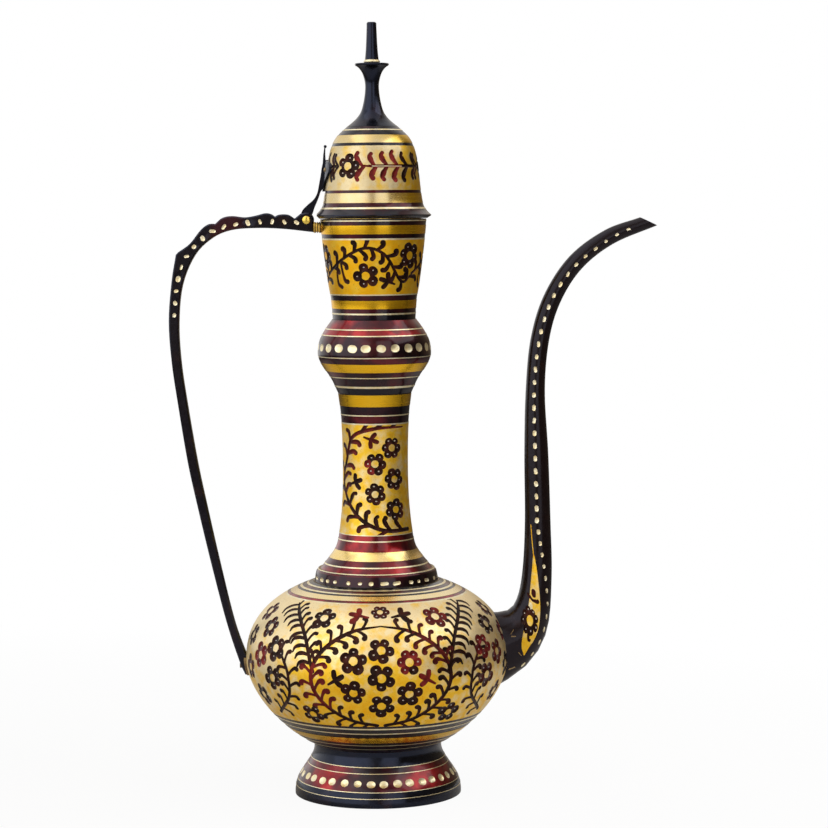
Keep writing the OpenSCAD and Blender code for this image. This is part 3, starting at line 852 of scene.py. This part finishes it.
# Flowers on both sides of it: degrees, height, warmth on the left and on the right
SIDE_FLOWERS = [(30, 98, 0, 0.6), (52, 82, 0, 1), (53, 67, 0, 0.2), (62, 91, 0.1, 0), (63, 77, 1, 0.5),
                (34, 50, 0, 0), (74, 69, 0.2, 0), (77, 85, 0, 0.8), (66, 56, 0, 0.1), (75, 97, 0.2, 0.2)]


def medallion(panel, start):
    """One framed group of flowers with ferns and flowers on both of its sides."""
    at = partial(panel.at, start)
    side_size, middle_size, top_size = 6.2, 6.6, 4.6
    swing = np.linspace(math.radians(4), math.pi, 9)
    oval = [(OVAL_TURN * math.sin(a), OVAL_Z - OVAL_HALF * math.cos(a)) for a in swing]
    for side in (-1, 1):
        red, reds = (0.9, (0.28, 0.6)) if side < 0 else (0.5, (0.6, 0.88))
        fern = panel.vine([at(p, side) for p in FERN_STEM], width=2)
        panel.leaves(fern, (-side,), spacing=4.5, length=8, head=0.5, spread=56, skip=4, droop=0.5,
                     belly=1.15)
        panel.leaves(fern, (side,), spacing=4.8, length=6.8, head=1.3, spread=42, skip=6)
        stalk = panel.vine([at(p, side) for p in SIDE_STEM], width=1.9)
        panel.leaves(stalk, (1, -1), spacing=3.2, length=6.4, head=1.3, spread=46, skip=3)
        vine = panel.vine([at(p, side) for p in oval], width=2.3, warm=red, reds=reds)
        panel.leaves(vine[:-8], (1, -1), spacing=2.9, length=7, head=1.5, spread=46, skip=4, warm=0.8 * red,
                     reds=reds)
        for turn, z, left, right in SIDE_FLOWERS:
            panel.flower(at((turn, z), side), side_size * panel.about(0.05), petals=5,
                         warm=left if side < 0 else right)
        panel.sprig(at((20, 69), side), math.radians(90 + 60 * side), size=5.6, warm=0 if side < 0 else 1)
        panel.sprig(at((11, 99.5), side), math.radians(90 - 75 * side), size=6.2, warm=0.9 if side < 0 else 0)
    panel.flower(at(RED_FLOWER), middle_size * panel.about(0.04), petals=6, warm=1, dull=(2,))
    for spot in MIDDLE_FLOWERS:
        panel.flower(at(spot), middle_size * panel.about(0.04), petals=5)
    panel.flower(at(TOP_FLOWER), top_size, petals=6, warm=0.2)


def make_body():
    skin = Skin()
    waist_z, panel_low, panel_high = foot_top, 44.3, 104
    bands(skin, body, waist_z, [
        (28.8, ENAMEL, 0.1), (29.3, CHIP), (31.5, ENAMEL, 0.1), (32, CHIP), (33.5, ENAMEL), (36.9, BAND),
        (39.3, ENAMEL), (39.9, CHIP), (42.2, ENAMEL), (43, CHIP), (panel_low, ENAMEL), (panel_high, None),
        (104.5, CHIP), (105.4, ENAMEL, 0.9), (107.1, BAND), (107.7, ENAMEL), (108.2, CHIP),
        (109.1, ENAMEL, 0.2), (109.5, CHIP), (shoulder_z, ENAMEL)])
    engrave(skin, body, panel_low, panel_high, medallion, (2.6, 182.6), seed=11)
    lip_r, boss_r, boss_low = 25, 13.95, waist_z - WALL
    inner = inset(body.part(waist_z, shoulder_z), WALL)
    inner = inner[(inner[:, 1] > waist_z + WALL) & (inner[:, 1] < shoulder_z - WALL)]
    lathe_corners(skin, [(SHOULDER_R - STEP, shoulder_z), (lip_r - WALL, shoulder_z), inner[-1]], INSIDE)
    lathe(skin, inner[::-1], INSIDE)
    lathe(skin, [inner[0], (0, inner[0][1])], INSIDE)
    lathe_corners(skin, [(0, boss_low), (boss_r, boss_low), (boss_r, waist_z), (WAIST_R - STEP, waist_z)],
                  INSIDE)
    dress(skin.build("body_skin"), "vessel", "engraved_brass", "body_lower", "body_upper")


def make_collar():
    skin = Skin()
    dots_low, dots_high, bore_r = shoulder_z + 0.3, collar_z - 1.4, 25.05
    bands(skin, collar, shoulder_z, [
        (dots_low, ENAMEL), (dots_high, None), (collar_z - 0.35, ENAMEL, 0.2), (collar_z, CHIP)])
    panel = round_panel(collar, dots_low, dots_high, ENAMEL, warm=0.05, seed=5)
    count, dots_z, depth = 30, shoulder_z + 2.1, 0.2
    for i in range(count):
        place = collar.at(360 / count * i - 87 + panel.random.uniform(-2, 2), dots_z)
        panel.dot(place, panel.random.uniform(1.9, 4.4), panel.random.uniform(1.5, 2.1), depth, CHIP,
                  panel.random.uniform(-0.15, 0.15))
    panel.build(skin)
    lathe_corners(skin, [(collar.radius(collar_z), collar_z), (bore_r, collar_z), (bore_r, shoulder_z),
                         (collar.radius(shoulder_z) - STEP, shoulder_z)], INSIDE)
    dress(skin.build("collar_skin"), "vessel", "enamel", "collar")


# Neck motif, in degrees from its middle and heights: a bow of vine round two rows of flowers
NECK_VINE = [(63, 137.5), (10, 138), (-35, 146), (-70, 161), (-58, 174), (-42, 185), (0, 189.5), (55, 190)]
NECK_FLOWERS = [(0, 171.5), (0, 156), (31, 179.5), (36, 163.5), (37, 148)]


def neck_motif(panel, start):
    at = partial(panel.at, start)
    flower_size = 5.7
    vine = panel.vine([at(p) for p in NECK_VINE], width=2.1, warm=0.5, reds=(0.6, 1))
    panel.leaves(vine[:-22], (-1,), spacing=7, length=7.4, head=1.2, spread=48, skip=5, warm=0.5,
                 reds=(0.5, 1), belly=1.3)
    panel.leaves(vine, (1,), spacing=8.5, length=7.6, head=1.3, spread=28, skip=14, warm=0.2, belly=1.1)
    panel.sprig(at((-8, 184)), math.radians(-20), size=4.6, warm=0.3)
    panel.sprig(at((-38, 162)), math.radians(20), size=5)
    for i, spot in enumerate(NECK_FLOWERS):
        panel.flower(at(spot), flower_size * panel.about(0.03), petals=6, dull=() if i else (2, 3))


def make_column():
    skin = Skin()
    panel_low, panel_high = 135.3, 191.3
    bands(skin, column, collar_z, [
        (119.2, ENAMEL, 0.5), (119.8, CHIP), (122.5, ENAMEL, 0.25), (126.8, BAND), (131.7, ENAMEL, 0.9),
        (132.3, CHIP), (134.9, ENAMEL, 0.9), (panel_low, CHIP), (panel_high, None), (192, CHIP),
        (195.7, ENAMEL, 0.2), (196.3, CHIP), (200.5, ENAMEL, 0.05), (206.5, BAND), (column_top, ENAMEL)])
    engrave(skin, column, panel_low, panel_high, neck_motif, (0, 180), seed=21)
    top = line_tube(skin, column, collar_z, column_top)
    lathe(skin, [(column.radius(column_top) - STEP, column_top), top], INSIDE)
    dress(skin.build("neck_column_skin"), "vessel", "engraved_brass", "neck_column")


def make_knop():
    skin = Skin()
    dots_low, dots_high = 226, 235.2
    bands(skin, knop, column_top, [
        (210, ENAMEL), (211, CHIP), (215.1, ENAMEL, 0.1), (215.6, CHIP), (218.2, ENAMEL, 0.25), (222.5, BAND),
        (225.5, ENAMEL, 0.3), (dots_low, CHIP), (dots_high, None), (236.5, ENAMEL, 0.1), (237, CHIP),
        (239.6, ENAMEL, 1), (240.1, CHIP), (cup_low, ENAMEL, 0.6)])
    panel = round_panel(knop, dots_low, dots_high, ENAMEL, warm=0.1, seed=7)
    dots_round(panel, 24, z=230.7, long=4.8, wide=4.1)
    panel.build(skin)
    top = line_tube(skin, knop, column_top, cup_low)
    lathe(skin, [(knop.radius(cup_low) - STEP, cup_low), top], INSIDE)
    dress(skin.build("neck_knop_skin"), "vessel", "enamel", "neck_knop")


# Cup motif, in degrees and heights: a vine that waves right round, three times, over and under a flower
CUP_VINE = [(-67, 268), (-27, 278), (-5, 281), (15, 277), (32, 266), (42, 264), (53, 268)]
CUP_FLOWERS = [(-9, 267, 5), (47, 277, 6)]


def cup_motif(panel, start):
    at = partial(panel.at, start)
    flower_size = 6.5
    vine = panel.vine([at(p) for p in CUP_VINE], width=1.6)
    panel.leaves(vine, (1, -1), spacing=3.1, length=5.6, head=1.4, spread=48, skip=3, belly=1.15)
    panel.leaf(at((-41, 274)), way=(0.1, -1), side=1, length=12, head=1.4, droop=0.2)
    panel.leaf(at((-46, 273)), way=(-0.25, -1), side=1, length=13, head=1.2)
    panel.sprig(at((19, 264)), math.radians(160), size=5)
    for turn, z, petals in CUP_FLOWERS:
        panel.flower(at((turn, z)), flower_size, petals)


def make_cup():
    skin = Skin()
    panel_low, panel_high = 257.6, 285
    bands(skin, cup, cup_low, [
        (247.2, ENAMEL), (248, CHIP), (250.2, ENAMEL, 0.1), (254.4, BAND), (257, ENAMEL, 0.1),
        (panel_low, CHIP), (panel_high, None), (285.8, CHIP), (287.9, ENAMEL, 0.1), (292.3, BAND),
        (294.3, ENAMEL, 0.1), (294.9, CHIP), (mouth_z, ENAMEL)])
    engrave(skin, cup, panel_low, panel_high, cup_motif, (0, 120, 240), seed=31)
    line_tube(skin, cup, cup_low, mouth_z)
    mouth_r = cup.radius(mouth_z)
    lathe(skin, [(mouth_r - STEP, mouth_z), (mouth_r - WALL, mouth_z)], BAND)
    dress(skin.build("neck_cup_skin"), "vessel", "engraved_brass", "neck_cup")


def frieze(panel, start):
    """One flower, with a fern lying on one side of it and a curled pair of leaves on the other."""
    middle_z = 322

    def at(turn):
        return panel.at(start, (turn, middle_z))

    fern = panel.vine([at(turn) for turn in (68, 28, -12)], width=1.6, warm=0.9, reds=(0.35, 1))
    for side in (1, -1):
        panel.leaves(fern, (side,), spacing=6, length=7.6, head=1.2, spread=48, skip=1, warm=0.9,
                     reds=(0.35, 1), belly=1.5)
        panel.leaf(at(-47), way=(-1, 0.9 * side), side=-side, length=7, head=1.1)
    rib = [at(turn) for turn in (0, 20, 40)]
    rib_half, rib_depth = 0.16, 0.05
    panel.cut(rib, np.full(3, rib_half * panel.per_mm(rib[0])), rib_depth, CHIP)
    panel.flower(at(-32), size=6.4, petals=5)


def make_lid():
    skin = Skin()
    panel_low, panel_high = 310, 332.3
    edge_r, edge_h, bezel_h, flat_h, hole_r = 27.6, 1.3, 7, 4, 3.05
    lathe_corners(skin, [(BEZEL_R, rim_z), (edge_r, rim_z), (RIM_R, rim_z + edge_h), (RIM_R, lid_low)], BLACK)
    bands(skin, lid, lid_low, [
        (300.5, ENAMEL), (301.4, CHIP), (303.6, ENAMEL, 0.1), (308.5, BAND), (panel_low, ENAMEL, 0.1),
        (panel_high, None), (333.8, ENAMEL), (337.8, BAND), (340.2, ENAMEL), (340.8, CHIP),
        (crown_z, ENAMEL)])
    engrave(skin, lid, panel_low, panel_high, frieze, (0, 120, 240), seed=41)
    crown_low = crown_z - LID_WALL
    inner = inset(lid.part(lid_low, crown_z), LID_WALL)
    inner = inner[(inner[:, 0] < BEZEL_R) & (inner[:, 1] < crown_low) & (inner[:, 1] > rim_z + bezel_h)]
    lathe_corners(skin, [(lid.radius(crown_z) - STEP, crown_z), (hole_r, crown_z), (hole_r, crown_low),
                         inner[-1]], INSIDE)
    lathe(skin, inner[::-1], INSIDE)
    lathe_corners(skin, [inner[0], (BEZEL_R, rim_z + bezel_h), (BEZEL_R, rim_z)], INSIDE)
    piece = skin.build("lid_skin")
    for corner in piece.data.vertices:
        if corner.co.z < (rim_z + flat_h) * MM:
            corner.co.x = max(corner.co.x, -RIM_FLAT * MM)
    dress(piece, "lid", "engraved_brass", "lid_dome")


def make_finial():
    tang_r, stud_r, stud_low = 1.55, 3, low("finial_stem")
    skin = Skin()
    lathe(skin, stem.part(crown_z, DISC_LOW), BLACK)
    disc_r = stem.radius(DISC_LOW)
    lathe_corners(skin, [(disc_r, DISC_LOW), (disc_r + 0.2, disc_z - 0.4), (disc_r - 0.1, disc_z),
                         (tang_r, disc_z)], BLACK)
    lathe_corners(skin, [(0, stud_low), (stud_r, stud_low), (stud_r, crown_z),
                         (stem.radius(crown_z), crown_z)], INSIDE)
    dress(skin.build("finial_stem_skin"), "lid", "enamel", "finial_stem")
    ring_r, bulge_r, ring_z = 3.6, 4.2, (disc_z + ring_top) / 2
    skin = Skin()
    lathe(skin, spline([(ring_r, disc_z), (bulge_r, ring_z), (ring_r, ring_top)], 6), CHIP)
    lathe_corners(skin, [(ring_r, ring_top), (tang_r, ring_top), (tang_r, disc_z), (ring_r, disc_z)], CHIP)
    dress(skin.build("finial_ring_skin"), "lid", "brass", "finial_ring")
    tip_r = 2
    skin = Skin()
    lathe(skin, spike.part(ring_top, tip_low), BLACK)
    lathe_corners(skin, [(spike.radius(tip_low), tip_low), (tip_r, tip_z), (0, tip_z)], BLACK)
    lathe(skin, [(0, ring_top), (spike.radius(ring_top), ring_top)], BLACK)
    dress(skin.build("finial_spike_skin"), "lid", "enamel", "finial_spike")


# Spout: inner edge and outer edge in the XZ plane, then half of the width across
SPOUT_STATIONS = [
    ((56, 92.6), (56, 51), 12.5), ((67.4, 93.6), (76.5, 64.4), 10.6), ((72.5, 100.4), (87.6, 82.6), 8.6),
    ((75.3, 115), (90.3, 110.5), 7.2), ((76.6, 140), (89.8, 140.5), 6.2), ((76.5, 175), (88.8, 175), 5.6),
    ((77.3, 207), (87.2, 207), 5), ((80, 234), (89.4, 232.5), 4.6), ((87, 256.3), (95.2, 252), 4.3),
    ((100, 275.7), (106, 269), 4), ((118, 288.9), (122.3, 281.8), 3.6), ((136, 295.3), (144.8, 291.1), 3.2)]
SPOUT_WALL = 1.3
SPOUT_COLUMNS, SPOUT_ROWS, BORE_ROWS = 48, 90, 60
# Line of dots: length along the spout from its root, and the turn there
SPOUT_DOT_LINE = [(17, 57), (43, 50), (62, 19), (81, -6), (150, -10), (197, -3), (232, 18), (255, 0)]
# Their size: length from the root, long and wide
SPOUT_DOT_SIZES = [(70, 2.1, 1.8), (85, 3.1, 1.9), (200, 2.7, 1.7), (260, 1.8, 1.2)]
# Bare panel near the root: turn, length from the root, half of its width
TEARDROP = [(-19, 64, 0.4), (-9, 48, 2.4), (0, 36, 4.2), (6, 29, 5.2), (18, 22.5, 3.8), (33, 19, 0.6)]
TEARDROP_LINE = [(-34, 80), (-28, 72), (-20, 64)]
# Ticks beside it: turn, length from the root, long, wide and lean
SPOUT_TICKS = [(-22, 16.5, 3.2, 0.6, 2), (-13, 16.5, 3.2, 0.6, 1.1), (25, 17, 3.2, 0.4, 0.3),
               (43, 12, 3.4, 0.9, 1.2)]


def leaves_body(tube, u, reach):
    """For each column, where a tube comes out of the body's wall, within a reach of its root."""
    sunk = 0.6
    q = np.linspace(0, reach, 400)
    spots = tube.bare(u[:, None], q[None])
    within = np.hypot(spots[..., 0], spots[..., 1]) < body.radius(spots[..., 2]) - sunk
    return np.array([q[row.nonzero()[0].max()] for row in within])


def spout_ornament(panel, start, way):
    """One side: a bare teardrop with a flower on it, ticks beside it, and a line of dots up to the tip."""
    at = partial(panel.at, start, side=way)
    drop = spline([at((turn, s)) for turn, s, _ in TEARDROP], 6)
    widths = spline([(s, half) for _, s, half in TEARDROP], 6)[:, 1]
    panel.cut(drop, [w * panel.per_mm(p) for w, p in zip(widths, drop)], depth=0.2, ink=GROUND, power=8.0)
    mark, mark_half = spline([at(p) for p in TEARDROP_LINE], 4), 0.22
    panel.cut(mark, np.full(len(mark), mark_half * panel.per_mm(mark[0])), depth=0.15, ink=GROUND)
    panel.dot(at((-11, 44)), long=4.4, wide=2.8, depth=0.26, ink=CUT, lean=1.7, warm=0.2)
    for side in (1, -1):
        panel.leaf(at((-11, 40)), way=(side, 0.3), side=side, length=4, head=1, warm=0.1, droop=0.1, belly=1)
    panel.leaf(at((3, 26)), way=(1, -1), side=1, length=5, head=0.6)
    panel.dot(at((-14, 36)), long=4.4, wide=2.6, depth=0.2, ink=CHIP, lean=1.7)
    panel.flower(at((-4, 30)), size=7.2, petals=8)
    for turn, s, long, wide, lean in SPOUT_TICKS:
        panel.dot(at((turn, s)), long, wide, depth=0.15, ink=INSIDE, lean=lean)
    line_s, line_turns = np.array(SPOUT_DOT_LINE, float).T
    size_s, longs, wides = np.array(SPOUT_DOT_SIZES).T
    s = line_s[0]
    while s < line_s[-1] + 1:
        place = at((np.interp(s, line_s, line_turns), s))
        long, wide = np.interp(s, size_s, longs), np.interp(s, size_s, wides)
        panel.dot(place, long * panel.about(0.12), wide * panel.about(0.1), depth=0.2, ink=CHIP,
                  lean=math.pi / 2 + panel.random.uniform(-0.25, 0.25))
        s += np.interp(s, [40, 100], [5.2, 6.5])


def make_spout():
    skin = Skin()
    outside, bore = Swept(SPOUT_STATIONS), Swept(SPOUT_STATIONS, SPOUT_WALL)
    u, end, bore_end = turns_round(SPOUT_COLUMNS), outside.q[-1], bore.q[-1]
    reach, clear, root_clear = 0.4 * end, 0.03, 0.04
    root, bore_root = (leaves_body(tube, u, reach) for tube in (outside, bore))
    rows = np.linspace(0, end, SPOUT_ROWS)
    sides = [v for v in rows if root[-1] + clear < v < end - clear]
    edge = list(zip(u, root)) + [(u[-1], v) for v in sides]
    edge += [(a, end) for a in u[::-1]] + [(u[0], v) for v in sides[::-1]]
    ground = [(a, v) for a, first in zip(u[1:-1], root[1:]) for v in rows
              if first + root_clear < v < end - clear]
    panel = Panel(outside, edge, np.array(ground), BLACK, warm=0.8, seed=51)
    for start, way in ((0, 1), (180, -1)):
        spout_ornament(panel, start, way)
    panel.build(skin)

    def join(first, second, normal, ink):
        """Closes the gap between two rings."""
        points = np.concatenate([first, second])
        skin.add(points, grid_faces(2, len(u)), np.tile(normal, (len(points), 1)), ink)

    beak_x, beak_z = outside.way[-1]
    tip_out, tip_in = outside.bare(u, np.full_like(u, end)), bore.bare(u, np.full_like(u, bore_end))
    join(tip_out, tip_in, (-beak_z, 0, beak_x), BLACK)
    bore_q = bore_root + (bore_end - bore_root) * np.linspace(1, 0, BORE_ROWS)[:, None]
    bore_u = np.broadcast_to(u, bore_q.shape)
    skin.add(bore.bare(bore_u, bore_q).reshape(-1, 3), grid_faces(BORE_ROWS, len(u)),
             -bore.normal(bore_u, bore_q).reshape(-1, 3), INSIDE)
    join(bore.bare(u, bore_root), outside.bare(u, root), (-1.0, 0, 0), INSIDE)
    dress(skin.build("spout_skin"), "vessel", "enamel", "spout")


# Handle, from the hinge over the lobed top, down the back and up inside
PIN = np.array([-34, 295.2])
CHEEK_R = 3.8
STUD_FACE_X = -30.4
CHEEK_CORNER = (-37, 298.4)
HANDLE_LOBES = [
    [(-40.1, 295.9), (-43, 297.8), (-45.8, 298.2), (-48.4, 297.9), (-50.1, 297)],
    [(-50.1, 297), (-52, 298.3), (-55, 298.8), (-60, 297.6), (-65.5, 296.8), (-72, 297.5), (-76.8, 296.6),
     (-80.4, 293.6)],
    [(-80.4, 293.6), (-84, 293.4), (-88, 290.4), (-93.5, 283.6), (-99.4, 279.4)],
    [(-100.7, 278), (-103.1, 264), (-104.8, 244), (-103.6, 223), (-100.8, 202), (-96.2, 172), (-91.7, 150),
     (-85, 120), (-77.4, 89), (-71, 68.5), (-68, 61.5)],
    [(-62, 62), (-66.3, 70), (-73, 88.5), (-80.4, 120), (-86.8, 150), (-91.2, 172), (-96, 202), (-98.8, 223),
     (-99.7, 243), (-97.6, 262.5), (-91, 277.8), (-82, 286.4), (-72.5, 290.3), (-60, 291.3), (-46, 290.8),
     (STUD_FACE_X, 289)]]
# Line of chips along its sides, and their spacing
CHIP_LINE = [(-39, 294), (-57, 294.5), (-74, 292.5), (-84, 288.5), (-95, 277.5), (-100, 264), (-102, 246)]
CHIP_STEP = 6.2


def handle_half(z):
    """Half of the handle's thickness at a height."""
    return np.interp(z, [60, 285], [2.5, 3.6])


class Cheek(Surface):
    """Flat side of the handle, facing -Y. Its places are (x, z) pairs."""
    closed = False

    def scale(self, place):
        return 1.0

    def normal(self, u, q):
        return np.broadcast_to([0.0, -1.0, 0.0], (*np.shape(u), 3))

    def bare(self, u, q):
        return np.stack([u, -handle_half(q), q], -1)


def make_handle():
    bevel, chip_depth, nearest = 0.7, 0.3, 0.05
    cheek_end, sharp = math.radians(100), math.radians(26)
    swing = np.linspace(-math.acos((STUD_FACE_X - PIN[0]) / CHEEK_R), cheek_end, 9)
    cheek = [PIN + CHEEK_R * np.array([math.cos(a), math.sin(a)]) for a in swing]
    outline = np.concatenate([cheek, [CHEEK_CORNER]] + [spline(lobe, 5) for lobe in HANDLE_LOBES])
    gaps = np.linalg.norm(np.roll(outline, -1, axis=0) - outline, axis=1)
    outline = outline[gaps > nearest]
    face = outline + bevel * left_of(unit(np.roll(outline, -1, axis=0) - np.roll(outline, 1, axis=0)))
    panel = Panel(Cheek(), face, np.empty((0, 2)), BLACK, warm=0.5, seed=61)
    line = spline(CHIP_LINE)
    run = running(step_lengths(line))
    for reach in np.arange(0, run[-1], CHIP_STEP):
        panel.dot(part_way(line, run, reach), panel.random.uniform(2.2, 3.4), panel.random.uniform(1.2, 2.4),
                  chip_depth, CHIP, panel.random.uniform(0, math.pi))
    skin = Skin()
    panel.build(skin)
    corners, normals, inks, warms = skin.patches[0]
    mirror = np.array([1, -1, 1])
    skin.patches.append(((corners * mirror)[:, ::-1], (normals * mirror)[:, ::-1], inks, warms))
    ring = np.arange(len(outline) + 1) % len(outline)
    face_half, half = handle_half(face[:, 1]), handle_half(outline[:, 1])
    rings = [(face, -face_half), (outline, bevel - half), (outline, half - bevel), (face, face_half)]
    points = np.concatenate([np.stack([p[ring, 0], y[ring], p[ring, 1]], -1) for p, y in rings])
    faces = grid_faces(len(rings), len(ring))[:, ::-1]
    skin.add(points, faces, np.tile([0.0, 0, 1], (len(points), 1)), BLACK)
    piece = skin.build("handle_skin", own_normals=False)
    cut_fork(piece)
    piece.data.set_sharp_from_angle(angle=sharp)
    dress(piece, "vessel", "enamel", "handle")


def cut_fork(piece):
    """Cuts the slot for the lid's knuckle into the handle's end."""
    slot_end, slot_floor, slot_half, reach = -44, 291.7, 1.6, 30
    corners = [Vector((x, y, z)) * MM for x in (slot_end, 0) for y in (-slot_half, slot_half)
               for z in (slot_floor, slot_floor + reach)]
    sides = [(0, 1, 3, 2), (4, 6, 7, 5), (0, 4, 5, 1), (2, 3, 7, 6), (0, 2, 6, 4), (1, 5, 7, 3)]
    mesh = bpy.data.meshes.new("fork_slot")
    mesh.from_pydata(corners, [], sides)
    mesh.materials.append(looks[BLACK])
    cutter = show("fork_slot", mesh)
    change = piece.modifiers.new("slot", "BOOLEAN")
    change.operation = "DIFFERENCE"
    change.object = cutter
    change.solver = "EXACT"
    solid = bpy.data.meshes.new_from_object(piece.evaluated_get(bpy.context.evaluated_depsgraph_get()))
    piece.modifiers.clear()
    piece.data = solid
    bpy.data.objects.remove(cutter)


def make_pin():
    """Hinge pin with two domed heads, turned about Y."""
    skin = Skin()
    pin_r, head_r, head_h, face_y = 1.25, 2.1, 0.7, 3.65
    dome = [(head_r * math.cos(a), face_y + head_h * math.sin(a)) for a in np.linspace(0, math.pi / 2, 7)]
    for way in (1, -1):
        lathe(skin, [(r, way * y) for r, y in dome[::way]], POLISHED)
        lathe(skin, [(r, way * face_y) for r in (pin_r, head_r)[::way]], POLISHED)
    lathe(skin, [(pin_r, -face_y), (pin_r, face_y)], POLISHED)
    piece = skin.build("hinge_pin_skin")
    place = Matrix.Translation((PIN[0] * MM, 0, PIN[1] * MM))
    piece.data.transform(place @ Matrix.Rotation(math.pi / 2, 4, "X"))
    dress(piece, "vessel", "brass", "hinge_pin")


for make in (make_foot, make_body, make_collar, make_column, make_knop, make_cup, make_lid, make_finial,
             make_spout, make_handle, make_pin):
    make()

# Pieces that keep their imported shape
packed = dict.fromkeys(("handle_saddle", "handle_rivet", "strap_rivets", "finial_nut"), looks[INSIDE])
packed.update(handle_stud=ferrule_look(), lid_bezel=looks[POLISHED], lid_strap=looks[BLACK])
for name, material in packed.items():
    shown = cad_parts[name].data
    shown.materials.clear()
    shown.materials.append(material)


# Studio

def make_floor():
    """Round floor, white to the camera but for the object's shadow, and darker far out to everything else."""
    radius, steps, drop, middle = 2.2, 96, 0.0002, (-0.2, -0.2, 0)
    swing = np.linspace(0, FULL, steps, endpoint=False)
    mesh = bpy.data.meshes.new("floor")
    mesh.from_pydata([(radius * math.cos(a), radius * math.sin(a), -drop) for a in swing], [], [range(steps)])
    material = bpy.data.materials.new("white_floor")
    paint = Tree(material)
    paint.tree.nodes.clear()
    place = paint.node("ShaderNodeTexCoord").outputs["Object"]
    reach = paint.node("ShaderNodeVectorMath", {0: place, 1: middle}, operation="DISTANCE").outputs["Value"]
    matt = paint.node("ShaderNodeBsdfDiffuse", {"Color": paint.span(reach, 0.45, 0.95, 0.97, 0.25)})
    glow = paint.node("ShaderNodeEmission", {"Strength": 1.0})
    seen = paint.node("ShaderNodeLightPath").outputs["Is Camera Ray"]
    share = paint.math("MULTIPLY", seen, paint.span(reach, 0.3, 0.75, 0.94, 1.0))
    blend = paint.node("ShaderNodeMixShader", {0: share, 1: matt.outputs[0], 2: glow.outputs[0]})
    paint.node("ShaderNodeOutputMaterial", {"Surface": blend.outputs[0]})
    mesh.materials.append(material)
    show("floor", mesh)


def make_world():
    """White to the camera, and in reflections paler on the left and high up behind than elsewhere."""
    world = bpy.data.worlds.new("studio")
    bpy.context.scene.world = world
    sky = Tree(world)
    sky.tree.nodes.clear()
    rays = sky.node("ShaderNodeLightPath").outputs
    way = sky.node("ShaderNodeTexCoord").outputs["Generated"]
    x, y, z = sky.node("ShaderNodeSeparateXYZ", {"Vector": way}).outputs
    left = sky.span(x, 0.2, -0.5, how="SMOOTHSTEP")
    over = sky.span(sky.math("ADD", y, z), 0.95, 1.35, 0.0, 0.9, how="SMOOTHSTEP")
    mirrored = sky.math("MULTIPLY", rays["Is Glossy Ray"], sky.math("MAXIMUM", left, over))
    white = sky.math("MAXIMUM", rays["Is Camera Ray"], mirrored)
    glow = sky.node("ShaderNodeBackground", {"Color": sky.mix(white, (1, 0.78, 0.52), (1, 1, 1)),
                                             "Strength": sky.span(white, 0, 1, 0.13, 1.0)})
    sky.node("ShaderNodeOutputWorld", {"Surface": glow.outputs[0]})


def softbox(name, azimuth, elevation, distance, width, height, power):
    """Area lamp that faces the middle of the object, in degrees, metres and watts."""
    middle, daylight = Vector((0, 0, 0.17)), (0.97, 0.98, 1.0)
    a, e = math.radians(azimuth), math.radians(elevation)
    out = Vector((math.sin(a) * math.cos(e), -math.cos(a) * math.cos(e), math.sin(e)))
    lamp = bpy.data.lights.new(name, "AREA")
    lamp.shape = "RECTANGLE"
    lamp.size, lamp.size_y = width, height
    lamp.energy, lamp.color = power, daylight
    holder = show(name, lamp)
    holder.location = middle + out * distance
    holder.rotation_mode = "QUATERNION"
    holder.rotation_quaternion = out.to_track_quat("Z", "Y")
    holder.visible_camera = False


def make_camera():
    place, pitch, roll = Vector((19.5, -1350, 300)) * MM, -4.447, -0.45
    focal_px, image_px = 2640.45, 828
    data = bpy.data.cameras.new("camera")
    data.sensor_width = 36
    data.lens = focal_px / image_px * data.sensor_width
    data.shift_x, data.shift_y = 0.0012, 0.0013
    camera = show("camera", data)
    aim = Matrix.Rotation(math.radians(90 + pitch), 4, "X") @ Matrix.Rotation(math.radians(roll), 4, "Z")
    camera.matrix_world = Matrix.Translation(place) @ aim
    bpy.context.scene.camera = camera


make_floor()
make_world()
# Lamps: degrees round from the front and up, metres away, wide and high, and watts
softbox("window_left", -47, 12, 1.4, 2.0, 1.7, 7.4)
softbox("window_front", 22, 14, 1.5, 0.8, 1.4, 4.4)
softbox("window_right", 76, 43, 1.3, 1.2, 0.7, 4.8)
softbox("ceiling", 0, 74, 1.3, 2.0, 1.3, 6.4)
make_camera()
bpy.context.scene.view_settings.view_transform = "Standard"
